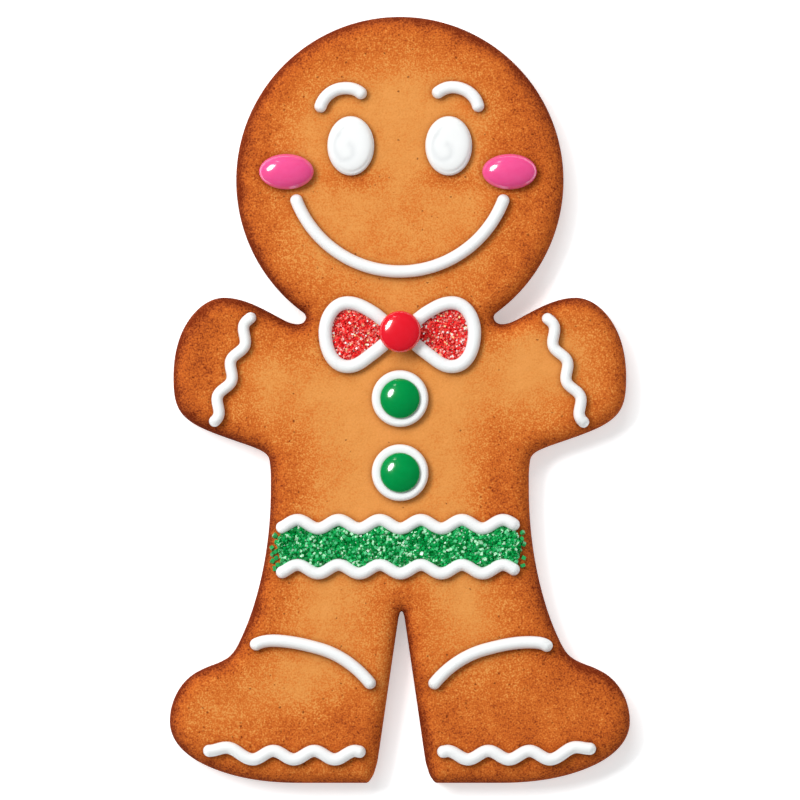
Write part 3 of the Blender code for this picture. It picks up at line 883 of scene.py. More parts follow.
    def outline(self) -> Path:
        """The cutter's line, clockwise from the left of the neck over the head.

        Returns:
            The closed outline's points, an even step apart.
        """
        turn = math.radians(self.neck_angle)
        neck = (
            self.head_centre[0] + self.head_radius * math.cos(turn),
            self.head_centre[1] + self.head_radius * math.sin(turn),
            self.neck_angle - 90.0,
        )
        apex = (self.slit_centre, self.slit_top, 180.0)
        right = (neck, *self.body, *self.slit)
        left = (*self.mirrored(self.slit, self.slit_centre), *self.mirrored((neck, *self.body)))
        angles = np.radians(np.linspace(180.0 - self.neck_angle, self.neck_angle, 400))
        head = np.stack([np.cos(angles), np.sin(angles)], axis=1) * self.head_radius + self.head_centre
        body = curve((*right, apex, *left), 24)
        loop = respaced(np.vstack([head[:-1], body]), self.outline_step)[:-1]
        return loop + inward_of(loop) * self.inset

    def height(self, points: np.ndarray) -> np.ndarray:
        """The height of the upper face over points.

        Args:
            points: The points.

        Returns:
            One height for each point, without the crumb's relief.
        """
        short = 1.0 - np.clip(self.region.distance(points) / self.edge_reach, 0.0, 1.0)
        return self.thickness - self.edge_drop * (1.0 - np.sqrt(1.0 - short * short))

    def relief(self, points: np.ndarray) -> np.ndarray:
        """How far the baked face stands above or below the true one.

        Args:
            points: The points.

        Returns:
            One offset for each point.
        """
        return self.swell.at(points) + self.crumb.at(points)

    def lamp_facing(self, points: np.ndarray, inward: np.ndarray) -> np.ndarray:
        """How far the nearest edge faces the key lamp, which the painted light and shade on the rim follow.

        Args:
            points: The points.
            inward: The outline's inward direction at each of its points.

        Returns:
            From -1, turned away, to 1, towards it, for each point.
        """
        tree = search_tree(self.region.loop)
        nearest = [tree.find((x, y, 0.0))[1] for x, y in points]
        return -inward[nearest] @ np.array(self.lit_from)

    def browning_and_shade(self, points: np.ndarray, distance: np.ndarray, lamp_facing: np.ndarray) -> np.ndarray:
        """How brown the dough is at points of the upper face, with painted light and shade on the rim and in
        some patches.

        Args:
            points: The points.
            distance: Their distance from the outline.
            lamp_facing: How far their nearest edge faces the key lamp.

        Returns:
            From 0, pale, to 1, dark, for each point.
        """
        coarse, fine = self.raggedness
        ragged = 1.0 + coarse.at(points) + fine.at(points)
        # Painted light and shade follow the key lamp: edges turned away get a paler broad rim and
        # farther-reaching face browning to offset their shade; the narrow band darkens lit edges against
        # their light and turned-away edges as painted shade.
        towards, away = np.clip(lamp_facing, 0.0, 1.0), np.clip(-lamp_facing, 0.0, 1.0)
        lit_edge_tone, turned_edge_tone = self.lamp_edge_tones
        lamp_edge_band = (lit_edge_tone * towards + turned_edge_tone * away) * np.exp(-((distance / self.lamp_edge_reach) ** 2))
        edge = self.rim_tone - self.rim_tone * away
        found = edge * np.exp(-((distance * ragged / self.rim_reach) ** 2)) + lamp_edge_band
        uneven = 1.0 - self.face_raggedness + self.face_raggedness * ragged
        reach = self.face_reach + self.face_reach_away * away
        found += self.face_tone * np.exp(-distance * uneven / reach) + self.middle_tone
        for patch in self.patches:
            found = found + patch.at(points)
        return np.clip(found, 0.0, 1.0)

    def painted_shade_amount(self, points: np.ndarray, icing_shade: Sequence[tuple[Path, float]]) -> np.ndarray:
        """How far the painted shade beside the icing darkens the dough.

        Args:
            points: The points.
            icing_shade: The middle line of each trim, round which shade is painted, with its half width.

        Returns:
            From 0, dry, to 1, beside the icing, for each point.
        """
        centres = np.vstack([path for path, _ in icing_shade])
        halves = np.concatenate([np.full(len(path), half) for path, half in icing_shade])
        tree = search_tree(centres)
        found = [tree.find((x, y, 0.0)) for x, y in points]
        away = np.array([distance - halves[index] for _, index, distance in found])
        away = np.clip(away, 0.0, None)
        rim, rim_reach = self.painted_shade_rim
        halo, halo_reach = self.painted_shade_halo
        return rim * np.exp(-((away / rim_reach) ** 2)) + halo * np.exp(-away / halo_reach)

    def build(self, material: bpy.types.Material, icing_shade: Sequence[tuple[Path, float]]) -> bpy.types.Object:
        """Makes the slab.

        Args:
            material: The baked crumb.
            icing_shade: The middle line of each trim, round which shade is painted, with its half width.

        Returns:
            The slab's object.
        """
        loop = self.region.loop
        inward = inward_of(loop)
        draw = np.random.default_rng(self.seed)
        rings = []
        for inset in self.edge_rings:
            ring = loop + inward * inset
            rings.append(ring[self.region.holds(ring) & (self.region.distance(ring) > UNFOLDED * inset)])
        low, high = loop.min(axis=0), loop.max(axis=0)
        grid = lattice(low, high, self.pitch, self.jitter, draw)
        grid = grid[self.region.holds(grid)]
        grid = grid[self.region.distance(grid) > self.edge_rings[-1] + self.grid_clear * self.pitch]
        inner = np.vstack([*rings, grid])
        faces = fill_loop(loop, inner)
        flat = np.vstack([loop, inner])
        distance = self.region.distance(flat)
        distance[:len(loop)] = 0.0
        heights = self.height(flat) + self.relief(flat) * np.clip(distance / self.relief_from, 0.0, 1.0)
        heights[:len(loop)] = self.thickness - self.edge_drop
        points = [np.column_stack([flat, heights])]
        browning_and_shade = [self.browning_and_shade(flat, distance, self.lamp_facing(flat, inward))]
        count = len(flat)
        upper = np.arange(len(loop))
        coarse, fine = self.wall_ripple
        ripple = coarse.at(loop) + fine.at(loop)
        beside = np.roll(np.arange(len(loop)), -1)
        for inset, level in self.wall_levels:
            shift = inset + np.abs(ripple) * (level > self.even_below)
            points.append(np.column_stack([loop + inward * shift[:, None], np.full(len(loop), level)]))
            browning_and_shade.append(np.full(len(loop), self.wall_tone) + self.wall_mottle * ripple)
            lower = np.arange(count, count + len(loop))
            faces += np.column_stack([upper, upper[beside], lower[beside], lower]).tolist()
            upper = lower
            count += len(loop)
        rim = loop + inward * self.wall_levels[-1][0]
        below = lattice(low, high, self.underside_pitch, self.underside_jitter, draw)
        below = below[self.region.holds(below) & (self.region.distance(below) > self.underside_clear)]
        under = fill_loop(rim, below)
        index = np.concatenate([upper, np.arange(count, count + len(below))])
        faces += [tuple(int(index[i]) for i in reversed(face)) for face in under]
        points.append(np.column_stack([below, np.zeros(len(below))]))
        darker, reach = self.underside_rim
        browning_and_shade.append(self.underside_tone + darker * np.exp(-self.region.distance(below) / reach))
        stacked = np.vstack(points)
        slab = new_piece("gingerbread_slab", stacked, faces, material, "biscuit")
        browning_and_shade_values = np.concatenate(browning_and_shade)
        add_values(slab, "browning_and_shade", browning_and_shade_values)
        levels, depths = np.array(self.crumb_by_browning).T
        add_values(slab, "crumb", np.interp(browning_and_shade_values, levels, depths))
        # Painted shade round the icing, on the upper face only.
        painted_shade = np.zeros(len(stacked))
        painted_shade[:len(flat)] = self.painted_shade_amount(flat, icing_shade)
        add_values(slab, "painted_shade", painted_shade)
        speckle = np.clip(browning_and_shade_values * self.speckle_gain - self.speckle_from, *self.speckle_range)
        add_values(slab, "speckle", speckle)
        return slab


@dataclass
class PipedLine:
    """A bead of icing piped along a path, round on top, with rounded ends."""

    node: str
    path: Path
    width: float = 2.72
    rise: float = 2.2
    sunk: float = 0.06
    foot_angle: float = -30.0
    sides: int = 20
    step: float = 0.32
    cap_steps: int = 7
    cap_turn: float = 87.0
    foot_share: float = 0.3
    ripple: NoiseLayer = NoiseLayer(0.012, 2.6, 7.0)
    ceiling: Optional[Callable[[np.ndarray], np.ndarray]] = None

    def profile(self) -> np.ndarray:
        """The bead's section as shares of its half width and its rise, from foot to foot."""
        angles = np.radians(np.linspace(self.foot_angle, 180.0 - self.foot_angle, self.sides))
        foot = math.sin(math.radians(self.foot_angle))
        return np.stack([np.cos(angles), (np.sin(angles) - foot) / (1.0 - foot)], axis=1)

    def stations(self) -> tuple[np.ndarray, np.ndarray, np.ndarray]:
        """Where the bead's sections stand.

        Returns:
            Their centres, their directions and their sizes, 1 being full.
        """
        path = respaced(self.path, self.step)
        along = headings(path)
        half = self.width / 2.0
        turns = np.radians(np.linspace(0.0, self.cap_turn, self.cap_steps + 1)[1:])
        out, size = np.sin(turns) * half, np.cos(turns)
        first = path[0] - along[0] * out[::-1, None]
        last = path[-1] + along[-1] * out[:, None]
        centres = np.vstack([first, path, last])
        directions = np.vstack([np.tile(along[0], (len(out), 1)), along, np.tile(along[-1], (len(out), 1))])
        return centres, directions, np.concatenate([size[::-1], np.ones(len(path)), size])

    def build(self, slab: GingerbreadSlab, material: bpy.types.Material) -> bpy.types.Object:
        """Makes the bead on the slab.

        Args:
            slab: What it lies on.
            material: The icing.

        Returns:
            The bead's object.
        """
        centres, directions, sizes = self.stations()
        profile = self.profile()
        across = np.stack([directions[:, 1], -directions[:, 0]], axis=1)
        even = 1.0 + self.ripple.at(centres)
        half = self.width / 2.0 * sizes * even
        flat = centres[:, None, :] + across[:, None, :] * (profile[None, :, 0:1] * half[:, None, None])
        flat = flat.reshape(-1, 2)
        rise = (profile[None, :, 1] * (self.rise * sizes * even)[:, None]).ravel()
        heights = slab.height(flat) + rise - self.sunk * (rise < self.foot_share * self.rise)
        if self.ceiling is not None:
            heights = np.where(rise > 0.0, np.minimum(heights, self.ceiling(flat)), heights)
        sides, rings = self.sides, len(centres)
        faces: list[tuple[int, ...]] = []
        for ring in range(rings - 1):
            here, there = ring * sides, (ring + 1) * sides
            for side in range(sides):
                beside = (side + 1) % sides
                faces.append((here + side, here + beside, there + beside, there + side))
        faces.append(tuple(reversed(range(sides))))
        faces.append(tuple(range((rings - 1) * sides, rings * sides)))
        points = np.column_stack([flat, heights])
        return new_piece(f"{self.node}_piped", points, faces, material, self.node)


@dataclass
class TurnedPiece:
    """A round or oval piece whose upper face is worked out ring by ring."""

    node: str
    half_sizes: tuple[float, float]
    slot: str
    rings: int = 30
    segments: int = 72
    rim_points: int = 120

    def middle(self) -> tuple[float, float]:
        """The middle of the solid that it replaces, in millimetres."""
        low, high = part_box(self.node)
        return (low.x + high.x) / 2.0 * PER_MM, (low.y + high.y) / 2.0 * PER_MM

    def levels(self) -> tuple[float, float]:
        """The lowest and the highest level of the solid that it replaces, in millimetres."""
        low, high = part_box(self.node)
        return low.z * PER_MM, high.z * PER_MM

    def rim(self) -> Path:
        """The piece's edge as seen from above."""
        turns = np.linspace(0.0, 2.0 * math.pi, self.rim_points, endpoint=False)
        ring = np.stack([np.cos(turns), np.sin(turns)], axis=1)
        return ring * np.array(self.half_sizes) + np.array(self.middle())

    def section(self) -> np.ndarray:
        """The section as (share of radius, level) from the top of its axis round to the underside."""
        raise NotImplementedError

    def relief(self, offsets: np.ndarray) -> np.ndarray:
        """How far the face stands above the turned one at offsets from the middle."""
        return np.zeros(len(offsets))

    def mark(self, piece: bpy.types.Object, offsets: np.ndarray) -> None:
        """Stores what the finish needs to know of the piece's points; most pieces need nothing."""

    def build(self, name: str, material: bpy.types.Material) -> bpy.types.Object:
        """Makes the piece.

        Args:
            name: The piece's name.
            material: Its finish.

        Returns:
            The piece's object.
        """
        section = self.section()
        turns = np.linspace(0.0, 2.0 * math.pi, self.segments, endpoint=False)
        ring = np.stack([np.cos(turns) * self.half_sizes[0], np.sin(turns) * self.half_sizes[1]], axis=1)
        offsets = [np.zeros((1, 2)), *[ring * share for share, _ in section[1:-1]], np.zeros((1, 2))]
        rings = [np.full(self.segments, level) for _, level in section[1:-1]]
        flat, heights = np.vstack(offsets), np.concatenate([section[:1, 1], *rings, section[-1:, 1]])
        upper = heights > (section[:, 1].min() + section[:, 1].max()) / 2.0
        heights = heights + np.where(upper, self.relief(flat), 0.0)
        faces: list[tuple[int, ...]] = []
        last = len(flat) - 1
        for side in range(self.segments):
            beside = (side + 1) % self.segments
            faces.append((0, 1 + side, 1 + beside))
            for level in range(len(section) - 3):
                here, there = 1 + level * self.segments, 1 + (level + 1) * self.segments
                faces.append((here + side, there + side, there + beside, here + beside))
            under = 1 + (len(section) - 3) * self.segments
            faces.append((under + side, last, under + beside))
        points = np.column_stack([flat + np.array(self.middle()), heights])
        piece = new_piece(name, points, faces, material, self.node)
        self.mark(piece, flat)
        return piece


@dataclass
class Candy(TurnedPiece):
    """A sugar-shell candy: a domed crown over a belly that tucks in."""

    middle_share: float = 0.28
    tuck: float = 0.12
    drop: float = 0.3
    belly_rings: int = 7

    def section(self) -> np.ndarray:
        """The crown as a quarter of an ellipse, then the belly down to a flat foot."""
        low, high = self.levels()
        low -= self.drop
        belt = low + (high - low) * self.middle_share
        turns = np.radians(np.linspace(0.0, 90.0, self.rings))
        crown = np.stack([np.sin(turns), belt + (high - belt) * np.cos(turns)], axis=1)
        down = np.radians(np.linspace(0.0, 90.0, self.belly_rings)[1:])
        belly = np.stack([1.0 - self.tuck * (1.0 - np.cos(down)), belt - (belt - low) * np.sin(down)], axis=1)
        return np.vstack([crown, belly, [(0.0, low)]])


@dataclass
class KnotCandy(Candy):
    """The bow's candy, a thick lentil whose belly covers the ends of the loops."""

    middle_share: float = 0.58
    tuck: float = 0.55
    foot_clear: float = 0.2

    def ceiling(self, points: np.ndarray) -> np.ndarray:
        """The highest that icing under the candy reaches.

        Args:
            points: Points of the icing.

        Returns:
            One level for each point.
        """
        low, high = self.levels()
        low -= self.drop
        belt = low + (high - low) * self.middle_share
        reach = np.linalg.norm(points - np.array(self.middle()), axis=1) / self.half_sizes[0]
        belly = belt - (belt - low) * np.sqrt(np.clip(1.0 - reach**2, 0.0, 1.0))
        return np.where(reach < 1.0, np.maximum(belly, low + self.foot_clear), high)


@dataclass
class FloodedEye(TurnedPiece):
    """An eye flooded with soft icing, which levels into a low dome and keeps the swirl of the nozzle."""

    rings: int = 44
    segments: int = 96
    drop: float = 0.35
    swirl: tuple[Anchor, ...] = (
        (-1.5, 3.6, -125.0),
        (-3.4, 0.3, -97.0),
        (-2.9, -2.1, -60.0),
        (-1.3, -3.2, 2.0),
        (0.65, -1.6, 90.0),
        (-0.1, 0.2, 150.0),
    )
    squareness: float = 6.0
    rim_share: float = 0.24
    foot_share: float = 0.12
    swirl_width: float = 0.6
    swirl_depths: tuple[float, float] = (0.12, 0.06)
    furrow_width: float = 0.76
    furrow_start: float = 0.12
    furrow_first: float = 0.3
    furrow_fade: float = 0.35
    slump: float = 0.2
    slump_azimuth: float = -38.0
    lip_share: float = 0.955
    lip_width: float = 0.03
    lip_height: float = 0.10
    dip_inset: float = 0.08
    dip_width: float = 0.045
    lip_azimuth: float = -65.0

    def section(self) -> np.ndarray:
        """A dome that is flatter on top than a ball, with a low lip where the icing stopped running."""
        low, high = self.levels()
        low -= self.drop
        share = np.sin(np.radians(np.linspace(0.0, 90.0, self.rings)))
        dome = self.rim_share + (1.0 - self.rim_share) * (1.0 - share**self.squareness) ** 0.5
        crown = np.stack([share, low + (high - low) * dome], axis=1)
        foot = np.array([(0.992, low + self.foot_share * (high - low)), (0.965, low), (0.0, low)])
        return np.vstack([crown, foot])

    def to_swirl(self, offsets: np.ndarray) -> tuple[np.ndarray, np.ndarray]:
        """How far offsets are from the swirl, and how far along it, from 0 to 1, its nearest point is."""
        path = curve(self.swirl, 12)
        spans = np.linalg.norm(offsets[:, None, :] - path[None, :, :], axis=2)
        return spans.min(axis=1), spans.argmin(axis=1) / (len(path) - 1)

    def mark(self, piece: bpy.types.Object, offsets: np.ndarray) -> None:
        """Marks the painted shade along the swirl's furrow, which fades at both ends."""
        away, along = self.to_swirl(offsets)
        share = np.clip(self.furrow_first + along / self.furrow_start, 0.0, 1.0)
        share = share * (1.0 - self.furrow_fade * along)
        add_values(piece, "groove_shade", share * np.exp(-((away / self.furrow_width) ** 2)))

    def relief(self, offsets: np.ndarray) -> np.ndarray:
        """The swirl's shallow groove, the side that slumped and the lip at the rim."""
        away, along = self.to_swirl(offsets)
        depth = self.swirl_depths[0] + (self.swirl_depths[1] - self.swirl_depths[0]) * along
        groove = -depth * np.exp(-((away / self.swirl_width) ** 2))
        shares = offsets / np.array(self.half_sizes)
        rim = np.linalg.norm(shares, axis=1)
        azimuth = np.arctan2(shares[:, 1], shares[:, 0])
        low_side = 0.5 + 0.5 * np.cos(azimuth - math.radians(self.slump_azimuth))
        slump = -self.slump * rim**2 * low_side
        lip = np.exp(-(((rim - self.lip_share) / self.lip_width) ** 2))
        dip = np.exp(-(((rim - self.lip_share + self.dip_inset) / self.dip_width) ** 2))
        grip = self.lip_height * np.cos(azimuth - math.radians(self.lip_azimuth)) ** 2
        return groove + slump + grip * (lip - dip)


@dataclass
class ButtonRing(TurnedPiece):
    """A disc of icing with a candy pressed into it, so that the icing closes up round the candy."""

    candy_radius: float = 4.37
    valley: float = 0.18
    crest_radius: float = 5.4
    dish_floor: float = 0.9
    dish_clear: float = 0.2
    dish_share: float = 0.92
    edge_height: float = 0.5
    drop: float = 0.35

    def section(self) -> np.ndarray:
        """The dish under the candy, the bead of icing round it and its rounded outer edge."""
        low, high = self.levels()
        outer = self.half_sizes[0]
        floor = low + self.dish_floor - self.dish_clear
        dish = [(0.0, floor), (0.5, floor), (self.dish_share * self.candy_radius / outer, floor)]
        rise = np.radians(np.linspace(0.0, 90.0, 9))
        climb = self.crest_radius - self.candy_radius
        inner = self.crest_radius - climb * np.cos(rise)
        inside = np.stack([inner, high - self.valley * (1.0 - np.sin(rise))], axis=1)
        fall = np.radians(np.linspace(84.0, 0.0, 16))
        reach = outer - self.crest_radius
        outside_levels = low + self.edge_height + (high - low - self.edge_height) * np.sin(fall)
        outside = np.stack([self.crest_radius + reach * np.cos(fall), outside_levels], axis=1)
        top = np.vstack([inside, outside])
        top[:, 0] /= outer
        foot = [(0.99, low + 0.1), (0.96, low - self.drop), (0.0, low - self.drop)]
        return np.vstack([dish, top, foot])


@dataclass
class PressedCandy(Candy):
    """A button's candy: a ball's cap with a small round shoulder over an upright side."""

    cap_radius: float = 6.5
    cap_reach: float = 4.2
    top_level: float = 12.2
    foot_level: float = 9.3

    def section(self) -> np.ndarray:
        """The cap, the shoulder that ends at the candy's full width and the flat foot."""
        full = self.half_sizes[0]
        lean = math.asin(self.cap_reach / self.cap_radius)
        cap_turns = np.linspace(0.0, lean, self.rings)
        cap = np.stack([np.sin(cap_turns), np.cos(cap_turns) - 1.0], axis=1) * self.cap_radius
        shoulder = (full - self.cap_reach) / (1.0 - math.sin(lean))
        bend_turns = np.linspace(lean, math.pi / 2.0, 9)[1:]
        bend = np.stack([np.sin(bend_turns) - math.sin(lean), np.cos(bend_turns) - math.cos(lean)], axis=1)
        top = np.vstack([cap, cap[-1] + bend * shoulder])
        top[:, 0] /= full
        top[:, 1] += self.top_level
        return np.vstack([top, [(0.99, self.foot_level), (0.0, self.foot_level)]])


@dataclass(frozen=True)
class SugarTones:
    """The colours that a batch of dyed crystals shows, each with its share of the crystals."""

    tones: tuple[tuple[str, float], ...]
    dye_range: tuple[float, float] = (0.8, 1.2)

    def draw(self, count: int, draw: np.random.Generator) -> np.ndarray:
        """Linear colours for crystals.

        Args:
            count: How many crystals.
            draw: The source of the random choice.

        Returns:
            One RGBA colour for each crystal.
        """
        palette = np.array([linear(tone) for tone, _ in self.tones])
        shares = np.array([share for _, share in self.tones])
        chosen = palette[draw.choice(len(palette), count, p=shares / shares.sum())]
        chosen[:, :3] *= draw.uniform(*self.dye_range, (count, 1))
        return np.clip(chosen, 0.0, 1.0)


GREEN_TONES = SugarTones((
    ("#00762f", 0.22),
    ("#069a48", 0.34),
    ("#1faf5c", 0.20),
    ("#5fcf8d", 0.14),
    ("#b4ecc2", 0.10),
))
RED_TONES = SugarTones((
    ("#d2151b", 0.18),
    ("#ee2a2c", 0.31),
    ("#f34f46", 0.23),
    ("#f68f84", 0.17),
    # The pale yellow and near-white crystals are partly paler sugar and partly painted glints.
    ("#ffd9a0", 0.04),
    ("#fff0ea", 0.07),
))

# Where single green crystals have strayed past the two ends of the belt, in millimetres.
BELT_STRAYS = (
    (-27.45, -29.80),
    (-28.10, -32.55),
    (-28.00, -33.90),
    (-28.05, -35.40),
    (-27.60, -37.00),
    (-27.05, -31.30),
    (-27.15, -33.20),
    (-27.20, -34.70),
    (-26.90, -36.20),
    (26.95, -29.15),
    (26.75, -30.60),
    (27.25, -31.65),
    (27.25, -34.65),
    (27.05, -36.40),
)


@dataclass
class SugarBed:
    """Sanding sugar scattered thickly inside a line of icing, with single crystals strayed outside."""

    node: str
    slot: str
    loop: Path
    rise: float
    tones: SugarTones
    seed: int
    base_tone: str
    crystal: float = 0.68
    pitch: float = 0.52
    core_pitch: float = 1.1
    core_jitter: float = 0.2
    core_clear: float = 0.5
    core_sunk: float = 0.05
    unevenness: float = 0.12
    border_share: float = 0.45
    layer_lifts: tuple[float, float] = (0.05, 0.32)
    layer_jitter: float = 0.45
    border_clear: float = 0.12
    size_range: tuple[float, float] = (0.55, 1.15)
    side_range: tuple[float, float] = (0.7, 1.15)
    corner_range: tuple[float, float] = (0.78, 1.0)
    strays: tuple[tuple[float, float], ...] = ()
    stray_size: float = 1.04
    stray_range: tuple[float, float] = (0.75, 1.0)
    stray_lift: float = 0.35
    stray_tone: str = "#27a558"

    def core(self, slab: GingerbreadSlab) -> tuple[np.ndarray, list[tuple[int, ...]]]:
        """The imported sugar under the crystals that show.

        Args:
            slab: What it lies on.

        Returns:
            Its vertices and faces, one closed body.
        """
        draw = np.random.default_rng(self.seed)
        region = LoopRegion(self.loop)
        low, high = self.loop.min(axis=0), self.loop.max(axis=0)
        grid = lattice(low, high, self.core_pitch, self.core_jitter, draw)
        grid = grid[region.holds(grid)]
        grid = grid[region.distance(grid) > self.core_clear * self.core_pitch]
        flat = np.vstack([self.loop, grid])
        faces = fill_loop(self.loop, grid)
        ground = slab.height(flat)
        border, count = len(self.loop), len(flat)
        uneven = draw.uniform(-self.unevenness, self.unevenness, len(grid))
        depth = np.concatenate([np.full(border, self.border_share * self.rise), self.rise + uneven])
        top = np.column_stack([flat, ground + depth])
        points = np.vstack([top, np.column_stack([flat, ground - self.core_sunk])])
        under = [tuple(i + count for i in reversed(face)) for face in faces]
        walls = [(i, i + count, (i + 1) % border + count, (i + 1) % border) for i in range(border)]
        return points, [*faces, *under, *walls]

    def crystals(self, slab: GingerbreadSlab) -> tuple[np.ndarray, np.ndarray]:
        """The crystals that show, each a small block turned its own way.

        Args:
            slab: What they lie on.

        Returns:
            Their corners, eight to a crystal, and one colour for each crystal.
        """
        draw = np.random.default_rng(self.seed + 1)
        region = LoopRegion(self.loop)
        low, high = self.loop.min(axis=0), self.loop.max(axis=0)
        spots, lifts = [], []
        for lift in self.layer_lifts:
            layer = lattice(low, high, self.pitch, self.layer_jitter, draw)
            layer = layer[region.holds(layer)]
            near = region.distance(layer)
            layer = layer[near > self.border_clear]
            near = near[near > self.border_clear]
            spots.append(layer)
            slope = np.clip(near / self.core_pitch, 0.0, 1.0)
            lifts.append(self.rise * (self.border_share + (1.0 - self.border_share) * slope) + lift)
        if self.strays:
            spots.append(np.array(self.strays))
            lifts.append(np.full(len(self.strays), self.stray_lift * self.stray_size))
        flat, lift = np.vstack(spots), np.concatenate(lifts)
        count = len(flat)
        whole = draw.uniform(*self.size_range, (count, 1))
        sizes = self.crystal * whole * draw.uniform(*self.side_range, (count, 3)) / 2.0
        corners = np.array([(x, y, z) for x in (-1, 1) for y in (-1, 1) for z in (-1, 1)], float)
        loose = count - len(self.strays)
        sizes[loose:] = self.stray_size * draw.uniform(*self.stray_range, (count - loose, 3)) / 2.0
        shaped = corners[None] * sizes[:, None, :] * draw.uniform(*self.corner_range, (count, 8, 3))
        spun = shaped @ self.rotations(count, draw)
        middle = np.column_stack([flat, slab.height(flat) + lift])
        dyes = self.tones.draw(count, draw)
        dyes[loose:] = linear(self.stray_tone)[:dyes.shape[1]]
        return (spun + middle[:, None, :]).reshape(-1, 3), dyes

    def rotations(self, count: int, draw: np.random.Generator) -> np.ndarray:
        """Random turning matrices, one for each crystal."""
        found = np.linalg.qr(draw.normal(size=(count, 3, 3)))[0]
        found[np.linalg.det(found) < 0.0, :, 0] *= -1.0
        return found

    def build(self, slab: GingerbreadSlab, material: bpy.types.Material) -> bpy.types.Object:
        """Makes the core and its crystals as one piece.

        Args:
            slab: What they lie on.
            material: The sugar.

        Returns:
            The sugar's object.
        """
        core_points, faces = self.core(slab)
        corners, dyes = self.crystals(slab)
        sides = np.array([(0, 1, 3, 2), (4, 6, 7, 5), (0, 4, 5, 1), (2, 3, 7, 6), (0, 2, 6, 4), (1, 5, 7, 3)])
        starts = len(core_points) + 8 * np.arange(len(dyes))
        faces = [*faces, *(starts[:, None, None] + sides[None]).reshape(-1, 4).tolist()]
        points = np.vstack([core_points, corners])
        name = f"{self.node}_crystals"
        piece = new_piece(name, points, faces, material, self.node, smooth=False)
        base = np.tile(linear(self.base_tone), (len(core_points), 1))
        colours = np.vstack([base, np.repeat(dyes, 8, axis=0)])
        dye = piece.data.attributes.new("dye", "FLOAT_COLOR", "POINT")
        dye.data.foreach_set("color", colours.astype(np.float32).ravel())
        return piece


